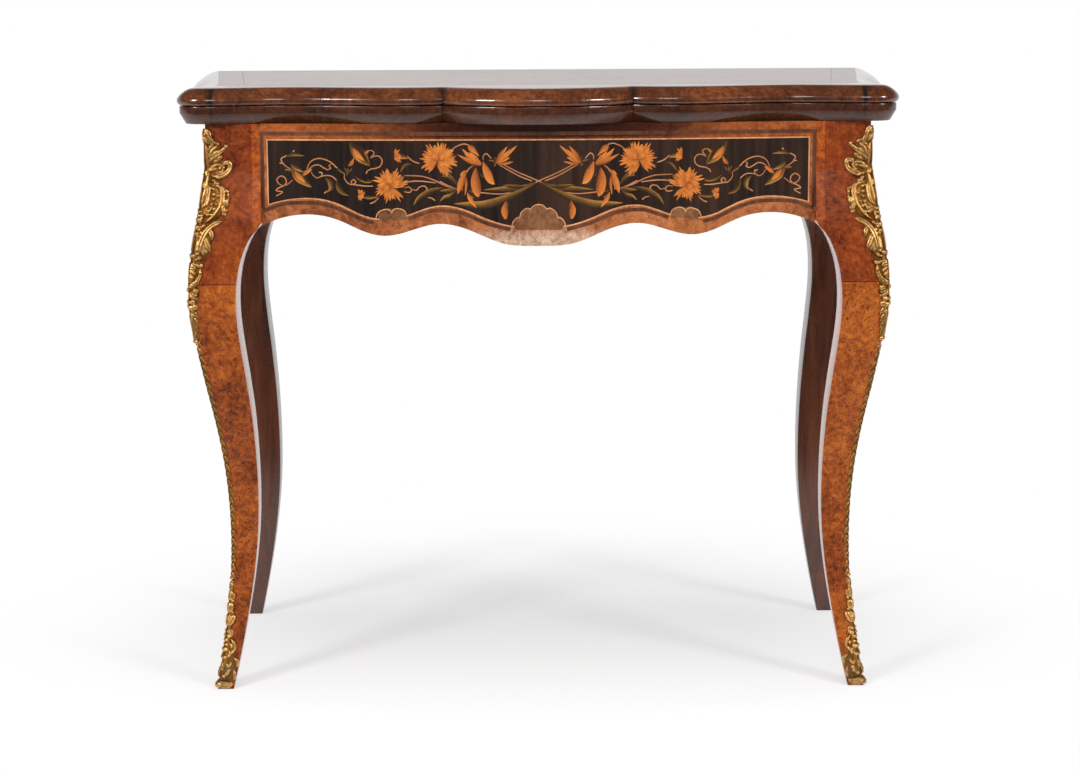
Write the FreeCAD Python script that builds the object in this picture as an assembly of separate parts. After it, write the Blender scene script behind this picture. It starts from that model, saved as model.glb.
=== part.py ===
"""Swivel and fold-over card table on cabriole legs, in millimetres.

The origin is on the floor under the middle of the closed top: +X right, +Y back, +Z up.
The closed top is two leaves. It turns a quarter on a pivot and the upper leaf folds over.
"""

import FreeCAD, Part
import math
import os

# Overall sizes
table_height = 770.0
top_half_width = 471.4
top_depth = 464.0
leaf_thickness = 22.0
swivel_gap = 0.4

# Frame: the posts at the leg tops and the rails between them
side_overhang = 58.4
front_overhang = 62.0
back_overhang = 22.0
post_size = 68.0
rail_thickness = 24.0
front_bow = 22.0
side_bow = 8.0
tenon_length = 30.0
tenon_thickness = 10.0
tenon_setback = 6.0
tenon_top_margin = 16.0
tenon_height = 70.0
joint_clearance = 0.1

# Cabriole legs: drops are below the frame top, heights above the floor,
# and sides are measured outwards from the post's outer faces
shoulder_drop = 57.0
hip_drop = 119.6
hip_out = 10.0
knee_drop = 210.0
knee_out = 19.3
shin_height = 400.0
shin_out = 3.4
calf_height = 297.0
calf_out = -14.3
ankle_height = 210.0
ankle_out = -19.6
instep_height = 100.0
instep_out = -13.7
toe_out = 2.5
bracket_drop = 127.0
bracket_bend_drop = 139.2
bracket_bend_in = -56.0
bracket_foot_drop = 157.0
bracket_foot_in = -47.5
knee_in = -37.6
shin_in = -48.0
calf_in = -55.3
ankle_in = -53.9
instep_in = -39.3
toe_in = -18.0
inner_chamfer = 12.0

# Lower edges of the rails: share of the half length from the middle, drop below the frame top
front_edge = [(0.0, 151.3), (0.12, 148.8), (0.24, 132.6), (0.362, 123.7), (0.475, 133.6),
              (0.555, 138.6), (0.63, 133.1), (0.725, 118.6), (0.84, 112.3), (0.93, 117.1)]
side_edge = [(0.0, 128.0), (0.45, 119.0), (0.8, 112.0)]
rear_edge = [(0.0, 108.0), (0.6, 106.0), (0.85, 113.0)]

# Front veneers: share of the panel's half length, drop below the frame top
veneer_thickness = 1.2
glue_line = 0.05
panel_top_drop = 19.0
panel_side_margin = 8.0
panel_corner_drop = 101.0
panel_edge = [(0.0, 128.6), (0.11, 127.0), (0.195, 118.3), (0.29, 105.5), (0.38, 102.8), (0.475, 113.0),
              (0.6, 118.4), (0.645, 115.0), (0.735, 101.0), (0.81, 94.2), (0.89, 93.6)]
string_width = 1.6
shell_centre_width = 64.0
shell_centre_height = 31.0
shell_side_share = 0.525
shell_side_width = 40.0
shell_side_height = 15.0
shell_base_rise = 20.0
shell_centre_lobes = 5
shell_side_lobes = 2
shell_notch = 0.16
shell_side_drop = 118.4

# Plan of the top: insets from the widest place, and how far each curve stands ahead of the cusps
ear_in = 25.4
waist_in = 39.4
bow_half_width = 118.0
bow_rise = 42.0
lobe_width = 114.0
lobe_rise = 9.0
hollow_depth = 14.0
ear_front_width = 54.0
ear_crown = 19.0
ear_tip_back = 18.0
ear_heel_back = 50.0
ear_heel_in = 5.0
waist_back = 95.0
side_mid_back = 195.0
side_mid_in = 24.4
side_hip_back = 310.0
side_hip_in = 7.4

# Edge mouldings and what the leaves are made of
ovolo_radius = 17.0
parting_return = 2.0
under_chamfer = 13.0
core_margin = 28.0
core_corner = 20.0
ear_seam_in = 40.0
border_width = 32.0
surface_thickness = 1.0
top_line_width = 1.6

# Leaf hinges
hinge_setback = 0.2
hinge_inset = 35.4
hinge_length = 50.0
knuckle_radius = 3.2
knuckle_count = 3
hinge_pin_radius = 1.5
hinge_plate_thickness = 1.6
hinge_plate_height = 16.0
running_clearance = 0.05
moving_clearance = 0.4
screw_radius = 1.2
screw_head_radius = 2.4
screw_head_depth = 1.0
screw_length = 14.0

# Pivot and stop
pivot_rail_width = 70.0
pivot_rail_thickness = 24.0
pivot_rail_housing = 10.0
spigot_radius = 9.0
bush_wall = 4.0
pivot_plate_radius = 36.0
pivot_plate_thickness = 4.0
pivot_screw_circle = 26.0
pivot_screw_count = 4
washer_radius = 17.0
washer_thickness = 2.0
washer_play = 0.2
nut_width = 26.0
nut_sides = 6
nut_thickness = 10.0
spigot_end = 3.0
stop_peg_radius = 4.0
stop_peg_circle = 52.0
stop_peg_rise = 6.0
stop_peg_depth = 18.0
groove_side_clearance = 0.5
groove_depth = 7.0

# Storage well
well_depth = 85.0
well_floor_thickness = 9.0
well_divider_thickness = 10.0
batten_size = 14.0

# Gilt mounts: heights or drops along the outer arris, and the width over each face
knee_mount_thickness = 4.0
knee_mount_edge = [(6.0, 3.0), (30.0, 12.0), (52.0, 34.0), (75.0, 24.0), (105.0, 27.0), (135.0, 20.0),
                   (165.0, 12.0), (195.0, 16.0), (225.0, 9.0), (262.0, 3.5)]
fillet_thickness = 2.0
fillet_width = 3.5
sabot_thickness = 3.0
sabot_edge = [(2.0, 19.0), (20.0, 17.0), (55.0, 15.0), (90.0, 12.0), (120.0, 7.0), (140.0, 3.5)]
mount_fit = 0.05
mount_pin_radius = 0.9
mount_pin_length = 16.0
mount_pin_inset = 7.0
knee_pin_drops = [70.0, 150.0, 200.0]
sabot_pin_heights = [40.0, 85.0]

# Levels and places that follow from the sizes above
parting_level = table_height - leaf_thickness
frame_half_width = top_half_width - side_overhang
frame_front = top_depth / 2 - front_overhang
frame_back = top_depth / 2 - back_overhang
ear_half_width = top_half_width - ear_in
waist_half_width = top_half_width - waist_in
ear_seam = ear_half_width - ear_seam_in
hinge_centre = top_half_width - core_margin - hinge_inset
underside = parting_level - leaf_thickness
frame_top = underside - swivel_gap
rail_half = frame_half_width - post_size
side_rail_front = post_size - frame_front
side_rail_back = frame_back - post_size
side_rail_mid = (side_rail_front + side_rail_back) / 2
side_rail_half = (side_rail_back - side_rail_front) / 2
front_rail_back = rail_thickness - frame_front
rear_rail_front = frame_back - rail_thickness
rear_line = top_depth / 2
cusp_line = bow_rise - rear_line
leaf_back = rear_line - hinge_setback
frame_middle = (frame_back - frame_front) / 2
pivot_x = (rear_line - frame_middle) / 2
pivot_y = (rear_line + frame_middle) / 2
reach = 2 * table_height


def vec(x, y, z):
    return FreeCAD.Vector(x, y, z)


def line(start, end):
    return Part.makeLine(start, end)


def spline(points):
    curve = Part.BSplineCurve()
    curve.interpolate(points)
    return curve.toShape()


def face_of(edges):
    return Part.Face(Part.Wire(edges))


def polygon(points):
    return Part.Face(Part.makePolygon(points + points[:1]))


def box(low, high):
    size = high - low
    return Part.makeBox(size.x, size.y, size.z, low)


def cylinder(radius, base, height, direction=FreeCAD.Vector(0, 0, 1)):
    return Part.makeCylinder(radius, height, base, direction)


def mirrored(shape):
    return shape.mirror(vec(0, 0, 0), vec(1, 0, 0))


def both_sides(shape):
    return [shape, mirrored(shape)]


def save(name, shapes):
    solids = [solid for shape in shapes for solid in shape.Solids]
    Part.makeCompound(solids).exportStep("parts/" + name + ".step")


# Legs
outer_profile = [(0.0, frame_top - shoulder_drop), (hip_out, frame_top - hip_drop),
                 (knee_out, frame_top - knee_drop), (shin_out, shin_height), (calf_out, calf_height),
                 (ankle_out, ankle_height), (instep_out, instep_height), (toe_out, 0.0)]
inner_profile = [(-post_size, frame_top - bracket_drop), (bracket_bend_in, frame_top - bracket_bend_drop),
                 (bracket_foot_in, frame_top - bracket_foot_drop), (knee_in, frame_top - knee_drop),
                 (shin_in, shin_height), (calf_in, calf_height), (ankle_in, ankle_height),
                 (instep_in, instep_height), (toe_in, 0.0)]


def leg_elevation(extra, place, inner_side):
    """One elevation of the leg; place turns (side, height) into a point of its plane."""
    outer = [place(out + extra, z) for out, z in outer_profile]
    inner = [place(inner_side(side), z) for side, z in inner_profile]
    top_outer = place(extra, frame_top)
    top_inner = place(inner_side(-post_size), frame_top)
    return face_of([line(top_inner, top_outer), line(top_outer, outer[0]), spline(outer),
                    line(outer[-1], inner[-1]), spline(inner), line(inner[0], top_inner)])


def right_front_leg(extra):
    """Leg as the part common to its front, side and corner elevations."""
    front = leg_elevation(extra, lambda s, z: vec(frame_half_width + s, -frame_front, z), lambda s: s)
    side = leg_elevation(extra, lambda s, z: vec(frame_half_width, -frame_front - s, z), lambda s: s)
    front.translate(vec(0, -reach, 0))
    side.translate(vec(-reach, 0, 0))
    leg = front.extrude(vec(0, 2 * reach, 0)).common(side.extrude(vec(2 * reach, 0, 0)))
    diagonal = math.sqrt(2)
    corner = leg_elevation(
        post_size, lambda s, z: vec(frame_half_width + s, -frame_front - s, z),
        lambda s: s + inner_chamfer / 2)
    corner.translate(vec(-reach / diagonal, -reach / diagonal, 0))
    return leg.common(corner.extrude(vec(diagonal * reach, diagonal * reach, 0)))


def to_rear(shape):
    """The rear legs stand like the front ones, turned about the frame's middle line."""
    return shape.mirror(vec(0, frame_middle, 0), vec(0, 1, 0))


def tenon_box(grow):
    """Front rail's right tenon, from the post's inner face outwards."""
    top = frame_top - tenon_top_margin
    low = vec(rail_half - grow, tenon_setback - frame_front - grow, top - tenon_height - grow)
    back = tenon_setback - frame_front + tenon_thickness
    high = vec(rail_half + tenon_length + grow, back + grow, top + grow)
    return box(low, high)


def side_tenon_box(grow):
    """Right side rail's front tenon, into the front post."""
    top = frame_top - tenon_top_margin
    x = frame_half_width - tenon_setback
    low = vec(x - tenon_thickness - grow, side_rail_front - tenon_length - grow, top - tenon_height - grow)
    high = vec(x + grow, side_rail_front + grow, top + grow)
    return box(low, high)


def mount_pin(z, face_out, side, grow):
    """Pin through a mount's front and into the leg, square to the front face."""
    start = vec(frame_half_width + side, -frame_front - face_out, z)
    return cylinder(mount_pin_radius + grow, start, mount_pin_length, vec(0, 1, 0))


def outer_at(z):
    """Outer side of the bare leg at a height."""
    if z > frame_top - shoulder_drop:
        return 0.0
    curve = spline([vec(out, 0, height) for out, height in outer_profile]).Curve
    level = Part.LineSegment(vec(-reach, 0, z), vec(reach, 0, z))
    return curve.intersect(level)[0].X


def pin_places():
    knee = [(frame_top - drop, knee_mount_thickness) for drop in knee_pin_drops]
    sabot = [(z, sabot_thickness) for z in sabot_pin_heights]
    return [(z, outer_at(z) + thickness, outer_at(z) - mount_pin_inset) for z, thickness in knee + sabot]


bare_leg = right_front_leg(0.0)
front_leg = bare_leg.cut(tenon_box(joint_clearance)).cut(side_tenon_box(joint_clearance))
rear_leg = to_rear(front_leg)
for pin_z, pin_out, pin_side in pin_places():
    front_leg = front_leg.cut(mount_pin(pin_z, pin_out, pin_side, mount_fit))

# Gilt mounts on the front legs


def mount_shell(thickness, edge):
    """Casting that wraps the leg's outer arris; edge lists height and width over each face."""
    shell = right_front_leg(thickness).cut(right_front_leg(mount_fit))
    line_points = [(outer_at(z) - width, z) for z, width in edge]
    (low_side, low_z), (high_side, high_z) = line_points[0], line_points[-1]
    far = post_size
    for place, across in (
        (lambda s, z: vec(frame_half_width + s, -frame_front - reach, z), vec(0, 2 * reach, 0)),
        (lambda s, z: vec(frame_half_width - reach, -frame_front - s, z), vec(2 * reach, 0, 0)),
    ):
        curve = [place(s, z) for s, z in line_points]
        corners = [place(far, high_z), place(far, low_z)]
        region = face_of([spline(curve), line(curve[-1], corners[0]), line(corners[0], corners[1]),
                          line(corners[1], curve[0])])
        shell = shell.common(region.extrude(across))
    return shell


knee_edge = [(frame_top - drop, width) for drop, width in reversed(knee_mount_edge)]
knee_mount = mount_shell(knee_mount_thickness, knee_edge)
sabot = mount_shell(sabot_thickness, sabot_edge)
fillet_low = sabot_edge[-1][0]
fillet_high = knee_edge[0][0]
fillet_middle = (fillet_low + fillet_high) / 2
fillet_edge = [(z, fillet_width) for z in (fillet_low, fillet_middle, fillet_high)]
edge_fillet = mount_shell(fillet_thickness, fillet_edge)
mount_pins = []
for pin_z, pin_out, pin_side in pin_places():
    hole = mount_pin(pin_z, pin_out, pin_side, mount_fit)
    knee_mount = knee_mount.cut(hole)
    sabot = sabot.cut(hole)
    mount_pins += both_sides(mount_pin(pin_z, pin_out, pin_side, 0.0))

# Rails


def lower_line(edge, half, end_drop, place):
    """Symmetric lower edge of a rail, from its left end to its right end."""
    side = [(share * half, drop) for share, drop in edge[1:]] + [(half, end_drop)]
    left = [(-x, drop) for x, drop in reversed(side)]
    middle = [(0.0, edge[0][1])]
    return [place(x, frame_top - drop) for x, drop in left + middle + side]


def rail_profile(edge, half, end_drop, top, place):
    points = lower_line(edge, half, end_drop, place)
    corners = [place(half, top), place(-half, top)]
    return face_of([spline(points), line(points[-1], corners[0]), line(corners[0], corners[1]),
                    line(corners[1], points[0])])


def front_prism(edge, half, end_drop, top):
    profile = rail_profile(edge, half, end_drop, top, lambda x, z: vec(x, -reach, z))
    return profile.extrude(vec(0, reach, 0))


front_radius = (rail_half ** 2 + front_bow ** 2) / (2 * front_bow)
front_centre_y = front_radius - frame_front - front_bow


def bowed_face(depth):
    """Everything behind the front rail's bowed face, set back by a depth."""
    return cylinder(front_radius - depth, vec(0, front_centre_y, 0), table_height)


rail_stock = box(vec(-rail_half, -frame_front - front_bow, 0), vec(rail_half, front_rail_back, frame_top))
front_body = rail_stock.common(front_prism(front_edge, rail_half, bracket_drop, frame_top))
front_core = front_body.common(bowed_face(veneer_thickness + glue_line))
veneer_sheet = front_body.common(bowed_face(0.0)).cut(bowed_face(veneer_thickness))
front_rail = front_core.fuse([tenon_box(0.0), mirrored(tenon_box(0.0))]).removeSplitter()

side_radius = (side_rail_half ** 2 + side_bow ** 2) / (2 * side_bow)
side_profile = rail_profile(side_edge, side_rail_half, bracket_drop, frame_top,
                            lambda y, z: vec(0, side_rail_mid + y, z))
side_stock = box(vec(frame_half_width - rail_thickness, side_rail_front, 0),
                 vec(frame_half_width + side_bow, side_rail_back, frame_top))
side_centre = vec(frame_half_width + side_bow - side_radius, side_rail_mid, 0)
side_face = cylinder(side_radius, side_centre, table_height)
side_body = side_profile.extrude(vec(reach, 0, 0)).common(side_stock).common(side_face)
side_rail = side_body.fuse([side_tenon_box(0.0), to_rear(side_tenon_box(0.0))]).removeSplitter()

rear_profile = rail_profile(rear_edge, rail_half, bracket_drop, frame_top,
                            lambda x, z: vec(x, rear_rail_front, z))
rear_body = rear_profile.extrude(vec(0, rail_thickness, 0))
rear_tenon = to_rear(tenon_box(0.0))
rear_rail = rear_body.fuse([rear_tenon, mirrored(rear_tenon)]).removeSplitter()

# Front veneers
panel_half = rail_half - panel_side_margin
panel_top = frame_top - panel_top_drop


def shell_inlay(centre_x, base_z, width, height, lobes):
    """Scalloped fan: round lobes along a half ellipse over a flat base."""
    half = width / 2
    lobe = math.pi / lobes

    def rim(angle, swell):
        return vec(centre_x + half * swell * math.cos(angle), -reach,
                   base_z + height * swell * math.sin(angle))

    edges = []
    for index in range(lobes):
        start = index * lobe
        edges.append(Part.Arc(rim(start, 1 - shell_notch), rim(start + lobe / 2, 1.0),
                              rim(start + lobe, 1 - shell_notch)).toShape())
    edges.append(line(edges[-1].Vertexes[-1].Point, edges[0].Vertexes[0].Point))
    return face_of(edges).extrude(vec(0, reach, 0))


middle_base = frame_top - front_edge[0][1] + shell_base_rise
side_base = frame_top - shell_side_drop
side_shell = shell_inlay(shell_side_share * rail_half, side_base, shell_side_width, shell_side_height,
                         shell_side_lobes)
centre_shell = shell_inlay(0.0, middle_base, shell_centre_width, shell_centre_height, shell_centre_lobes)
shells = [centre_shell] + both_sides(side_shell)
panel_prism = front_prism(panel_edge, panel_half, panel_corner_drop, panel_top)
inner_edge = [(share, drop - string_width) for share, drop in panel_edge]
ground_prism = front_prism(inner_edge, panel_half - string_width, panel_corner_drop - string_width,
                           panel_top - string_width)
shell_pieces = [veneer_sheet.common(shell) for shell in shells]
plain_sheet = veneer_sheet
for shell in shells:
    plain_sheet = plain_sheet.cut(shell)
crossband = plain_sheet.cut(panel_prism)
ground = plain_sheet.common(ground_prism)
string = plain_sheet.common(panel_prism).cut(ground_prism)

# Leaves
ear_start = ear_half_width - ear_front_width
lobe_end = bow_half_width + lobe_width
side_points = [(bow_half_width, 0.0), (bow_half_width + lobe_width / 2, -lobe_rise), (lobe_end, 0.0),
               ((lobe_end + ear_start) / 2, hollow_depth), (ear_start, 0.0),
               (ear_half_width - ear_crown, 0.0), (ear_half_width, ear_tip_back),
               (ear_half_width - ear_heel_in, ear_heel_back), (waist_half_width, waist_back),
               (top_half_width - side_mid_in, side_mid_back), (top_half_width - side_hip_in, side_hip_back),
               (top_half_width, leaf_back - cusp_line)]


def top_plan(z):
    """Serpentine outline of a leaf: bowed front, a cusp each side, eared corners, straight rear."""
    points = [vec(x, cusp_line + y, z) for x, y in side_points]
    right = spline(points)
    cusp = points[0]
    rear = points[-1]
    bow = Part.Arc(vec(-cusp.x, cusp.y, z), vec(0, cusp_line - bow_rise, z), cusp).toShape()
    return face_of([bow, right, line(rear, vec(-rear.x, rear.y, z)), mirrored(right)])


def core_plan(margin, z):
    """Straight-sided board inside the mouldings; it reaches the rear edge of the leaf."""
    front = cusp_line + hollow_depth + margin
    waist = waist_half_width - margin
    right = [vec(top_half_width - margin, leaf_back, z), vec(waist, cusp_line + waist_back, z),
             vec(waist, front + core_corner, z), vec(waist - core_corner, front, z)]
    left = [vec(-point.x, point.y, z) for point in reversed(right)]
    return polygon(right + left)


def slab(plan, height):
    return plan.extrude(vec(0, 0, height))


def edges_at(shape, z):
    """Edges of the shaped front and sides at a level, without the straight rear edge."""
    level = [edge for edge in shape.Edges if max(abs(v.Z - z) for v in edge.Vertexes) < joint_clearance]
    return [edge for edge in level if min(v.Y for v in edge.Vertexes) < leaf_back - joint_clearance]


def moulding_lengths(ring):
    """Cuts the moulding round a leaf into the lengths that meet at its seams."""
    waist = cusp_line + waist_back
    strips = [(vec(-bow_half_width, -reach, 0), vec(bow_half_width, 0, reach))]
    for low, high in ((bow_half_width, ear_seam), (ear_seam, reach)):
        strips.append((vec(low, -reach, 0), vec(high, waist, reach)))
    strips.append((vec(0, waist, 0), vec(reach, reach, reach)))
    lengths = [ring.common(box(low, high)) for low, high in strips]
    return lengths[:1] + [half for piece in lengths[1:] for half in both_sides(piece)]


upper_leaf = slab(top_plan(parting_level), leaf_thickness)
upper_leaf = upper_leaf.makeFillet(ovolo_radius, edges_at(upper_leaf, table_height))
upper_leaf = upper_leaf.makeChamfer(parting_return, edges_at(upper_leaf, parting_level))
lower_leaf = slab(top_plan(underside), leaf_thickness)
lower_leaf = lower_leaf.makeChamfer(under_chamfer, edges_at(lower_leaf, underside))

core_block = slab(core_plan(core_margin, 0.0), table_height)
upper_core = upper_leaf.common(core_block)
lower_core = lower_leaf.common(core_block)
upper_moulding = moulding_lengths(upper_leaf.cut(core_block))
lower_moulding = moulding_lengths(lower_leaf.cut(core_block))

field_margin = core_margin + border_width
lower_skin = parting_level - surface_thickness
upper_skin = table_height - surface_thickness
lower_baize = slab(core_plan(field_margin, lower_skin), surface_thickness)
lower_border = slab(core_plan(core_margin, lower_skin), surface_thickness).cut(lower_baize)
upper_baize = slab(core_plan(field_margin, parting_level), surface_thickness)
upper_border = slab(core_plan(core_margin, parting_level), surface_thickness).cut(upper_baize)
top_field = slab(core_plan(field_margin + top_line_width, upper_skin), surface_thickness)
top_line = slab(core_plan(field_margin, upper_skin), surface_thickness).cut(top_field)
lower_core = lower_core.cut(lower_baize).cut(lower_border)
upper_core = upper_core.cut(upper_baize).cut(upper_border).cut(top_field).cut(top_line)

# Hinges on the rear edge: the axis runs along X at the parting line
knuckle_length = hinge_length / knuckle_count
hinge_start = hinge_centre - hinge_length / 2
axis_x = vec(1, 0, 0)


def barrel(radius, start, length):
    return cylinder(radius, vec(hinge_start + start, rear_line, parting_level), length, axis_x)


def hinge_plate(up, knuckles):
    """Plate let into the rear edge, with its knuckles; up is 1 for the upper leaf and -1 for the lower."""
    near = parting_level
    far = parting_level + up * hinge_plate_height
    plate = box(vec(hinge_start, leaf_back - hinge_plate_thickness, min(near, far)),
                vec(hinge_start + hinge_length, leaf_back, max(near, far)))
    plate = plate.cut(barrel(knuckle_radius + moving_clearance, 0.0, hinge_length))
    web_far = parting_level + up * (knuckle_radius + 2 * moving_clearance)
    for index in knuckles:
        start = index * knuckle_length + moving_clearance / 2
        length = knuckle_length - moving_clearance
        web = box(vec(hinge_start + start, leaf_back - hinge_plate_thickness, min(near, web_far)),
                  vec(hinge_start + start + length, leaf_back, max(near, web_far)))
        plate = plate.fuse([web, barrel(knuckle_radius, start, length)])
    plate = plate.cut(barrel(hinge_pin_radius + running_clearance, 0.0, hinge_length))
    return plate.removeSplitter()


def hinge_screw(up, index, grow):
    """Countersunk screw through a plate and forward into the leaf's core."""
    x = hinge_start + (index + 1 / 2) * knuckle_length
    z = parting_level + up * (hinge_plate_height + knuckle_radius) / 2
    shank = cylinder(screw_radius + grow, vec(x, leaf_back - screw_length, z), screw_length, vec(0, 1, 0))
    head = Part.makeCone(screw_radius + grow, screw_head_radius + grow, screw_head_depth,
                         vec(x, leaf_back - screw_head_depth, z), vec(0, 1, 0))
    return shank.fuse(head).removeSplitter()


def hinge_bed(up):
    """Room cut in a leaf for its plate and for both leaves' knuckles."""
    near = parting_level
    far = parting_level + up * (hinge_plate_height + joint_clearance)
    plate_room = box(vec(hinge_start - joint_clearance, leaf_back - hinge_plate_thickness - joint_clearance,
                         min(near, far)),
                     vec(hinge_start + hinge_length + joint_clearance, rear_line, max(near, far)))
    knuckle_room = barrel(knuckle_radius + moving_clearance, -moving_clearance,
                          hinge_length + 2 * moving_clearance)
    return plate_room.fuse(knuckle_room)


def with_holes(shape, holes):
    for hole in holes:
        shape = shape.cut(hole)
    return shape


def hinge_screws(up, grow):
    return [hinge_screw(up, i, grow) for i in range(knuckle_count)]


def hinge_rooms(up):
    """What both hinges take out of a leaf."""
    rooms = [hinge_bed(up)] + hinge_screws(up, running_clearance)
    return [side for room in rooms for side in both_sides(room)]


lower_plate = with_holes(hinge_plate(-1, range(0, knuckle_count, 2)), hinge_screws(-1, running_clearance))
upper_plate = with_holes(hinge_plate(1, range(1, knuckle_count, 2)), hinge_screws(1, running_clearance))
hinge_pin = barrel(hinge_pin_radius, 0.0, hinge_length)
lower_core = with_holes(lower_core, hinge_rooms(-1))
lower_border = with_holes(lower_border, hinge_rooms(-1))
lower_baize = with_holes(lower_baize, hinge_rooms(-1))
upper_core = with_holes(upper_core, hinge_rooms(1))
upper_border = with_holes(upper_border, hinge_rooms(1))
upper_baize = with_holes(upper_baize, hinge_rooms(1))

# Pivot: plate and spigot under the lower leaf, bush in the rail across the frame
rail_underside = frame_top - pivot_rail_thickness
washer_top = rail_underside - washer_play
nut_top = washer_top - washer_thickness
spigot_foot = nut_top - nut_thickness - spigot_end


def at_pivot(radius, low, high):
    return cylinder(radius, vec(pivot_x, pivot_y, low), high - low)


def pivot_screw(index, grow):
    """Countersunk screw up through the pivot plate."""
    angle = (index + 1 / 2) * 2 * math.pi / pivot_screw_count
    place = vec(pivot_x + pivot_screw_circle * math.cos(angle),
                pivot_y + pivot_screw_circle * math.sin(angle), underside)
    shank = cylinder(screw_radius + grow, place, screw_length)
    head = Part.makeCone(screw_head_radius + grow, screw_radius + grow, screw_head_depth, place)
    return shank.fuse(head).removeSplitter()


pivot_plate = at_pivot(pivot_plate_radius, underside, underside + pivot_plate_thickness)
pivot_plate = pivot_plate.fuse(at_pivot(spigot_radius, spigot_foot, underside)).removeSplitter()
pivot_screws = [pivot_screw(i, 0.0) for i in range(pivot_screw_count)]
pivot_screw_holes = [pivot_screw(i, running_clearance) for i in range(pivot_screw_count)]
pivot_plate = with_holes(pivot_plate, pivot_screw_holes)
plate_bed = at_pivot(pivot_plate_radius + joint_clearance, underside,
                     underside + pivot_plate_thickness + joint_clearance)
lower_core = with_holes(lower_core, [plate_bed] + pivot_screw_holes)
spigot_hole = at_pivot(spigot_radius + running_clearance, spigot_foot, underside)
washer = at_pivot(washer_radius, nut_top, washer_top).cut(spigot_hole)
nut_turn = 2 * math.pi / nut_sides
nut_corner = nut_width / 2 / math.cos(nut_turn / 2)
nut_points = [vec(pivot_x + nut_corner * math.cos(k * nut_turn),
                  pivot_y + nut_corner * math.sin(k * nut_turn), nut_top - nut_thickness)
              for k in range(nut_sides)]
nut = slab(polygon(nut_points), nut_thickness).cut(spigot_hole)

bush_radius = spigot_radius + running_clearance + bush_wall
bush = at_pivot(bush_radius, rail_underside, frame_top).cut(spigot_hole)
pivot_stock = box(
    vec(pivot_x - pivot_rail_width / 2, front_rail_back - pivot_rail_housing, rail_underside),
    vec(pivot_x + pivot_rail_width / 2, rear_rail_front + pivot_rail_housing, frame_top))
front_rail = front_rail.cut(pivot_stock)
rear_rail = rear_rail.cut(pivot_stock)


def stop_peg(grow):
    place = vec(pivot_x, pivot_y - stop_peg_circle, frame_top - stop_peg_depth)
    return cylinder(stop_peg_radius + grow, place, stop_peg_depth + stop_peg_rise)


bush_hole = at_pivot(bush_radius, rail_underside, frame_top)
pivot_rail = with_holes(pivot_stock, [bush_hole, stop_peg(running_clearance)])


def stop_groove():
    """Quarter ring under the leaf, with round ends, that the peg runs in."""
    half = stop_peg_radius + groove_side_clearance
    ring = at_pivot(stop_peg_circle + half, underside, underside + groove_depth)
    ring = ring.cut(at_pivot(stop_peg_circle - half, underside, underside + groove_depth))
    quarter = box(vec(pivot_x - reach, pivot_y - reach, underside), vec(pivot_x, pivot_y, table_height))
    ends = [vec(pivot_x, pivot_y - stop_peg_circle, underside),
            vec(pivot_x - stop_peg_circle, pivot_y, underside)]
    return ring.common(quarter).fuse([cylinder(half, end, groove_depth) for end in ends])


lower_core = lower_core.cut(stop_groove())

# Storage well to the left of the pivot rail
well_floor_top = frame_top - well_depth
well_floor_under = well_floor_top - well_floor_thickness
well_left = rail_thickness - frame_half_width
divider_right = pivot_x - pivot_rail_width / 2 + well_divider_thickness
divider_left = divider_right - well_divider_thickness
well_floor = box(vec(well_left, front_rail_back, well_floor_under),
                 vec(divider_right, rear_rail_front, well_floor_top))
left_post = box(vec(-frame_half_width, -frame_front, 0), vec(-rail_half, side_rail_front, frame_top))
posts = left_post.fuse(to_rear(left_post))
well_floor = well_floor.cut(posts)
well_divider = box(vec(divider_left, front_rail_back, well_floor_top),
                   vec(divider_right, rear_rail_front, rail_underside))
batten_front = box(vec(-rail_half, front_rail_back, well_floor_under - batten_size),
                   vec(divider_right, front_rail_back + batten_size, well_floor_under))
batten_rear = box(vec(-rail_half, rear_rail_front - batten_size, well_floor_under - batten_size),
                  vec(divider_right, rear_rail_front, well_floor_under))

os.makedirs("parts", exist_ok=True)
save("front_right_leg", [front_leg])
save("front_left_leg", [mirrored(front_leg)])
save("rear_right_leg", [rear_leg])
save("rear_left_leg", [mirrored(rear_leg)])
save("front_rail", [front_rail])
save("rear_rail", [rear_rail])
save("right_side_rail", [side_rail])
save("left_side_rail", [mirrored(side_rail)])
save("front_panel_veneer", [ground])
save("front_string", [string])
save("front_crossband", [crossband])
save("shell_inlays", shell_pieces)
save("right_knee_mount", [knee_mount])
save("left_knee_mount", [mirrored(knee_mount)])
save("right_edge_fillet", [edge_fillet])
save("left_edge_fillet", [mirrored(edge_fillet)])
save("right_sabot", [sabot])
save("left_sabot", [mirrored(sabot)])
save("mount_pins", mount_pins)
save("pivot_rail", [pivot_rail])
save("pivot_bush", [bush])
save("stop_peg", [stop_peg(0.0)])
save("well_floor", [well_floor])
save("well_divider", [well_divider])
save("floor_battens", [batten_front, batten_rear])
save("lower_leaf_core", [lower_core])
save("lower_leaf_moulding", lower_moulding)
save("lower_playing_border", [lower_border])
save("lower_baize", [lower_baize])
save("pivot_plate", [pivot_plate])
save("pivot_screws", pivot_screws)
save("pivot_washer", [washer])
save("pivot_nut", [nut])
save("lower_hinge_plates", both_sides(lower_plate))
save("hinge_pins", both_sides(hinge_pin))
save("lower_hinge_screws", [side for screw in hinge_screws(-1, 0.0) for side in both_sides(screw)])
save("upper_leaf_core", [upper_core])
save("upper_leaf_moulding", upper_moulding)
save("upper_playing_border", [upper_border])
save("upper_baize", [upper_baize])
save("top_field_veneer", [top_field])
save("top_line", [top_line])
save("upper_hinge_plates", both_sides(upper_plate))
save("upper_hinge_screws", [side for screw in hinge_screws(1, 0.0) for side in both_sides(screw)])
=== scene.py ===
import math

import bmesh
import bpy
from mathutils import Matrix, Vector


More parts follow.
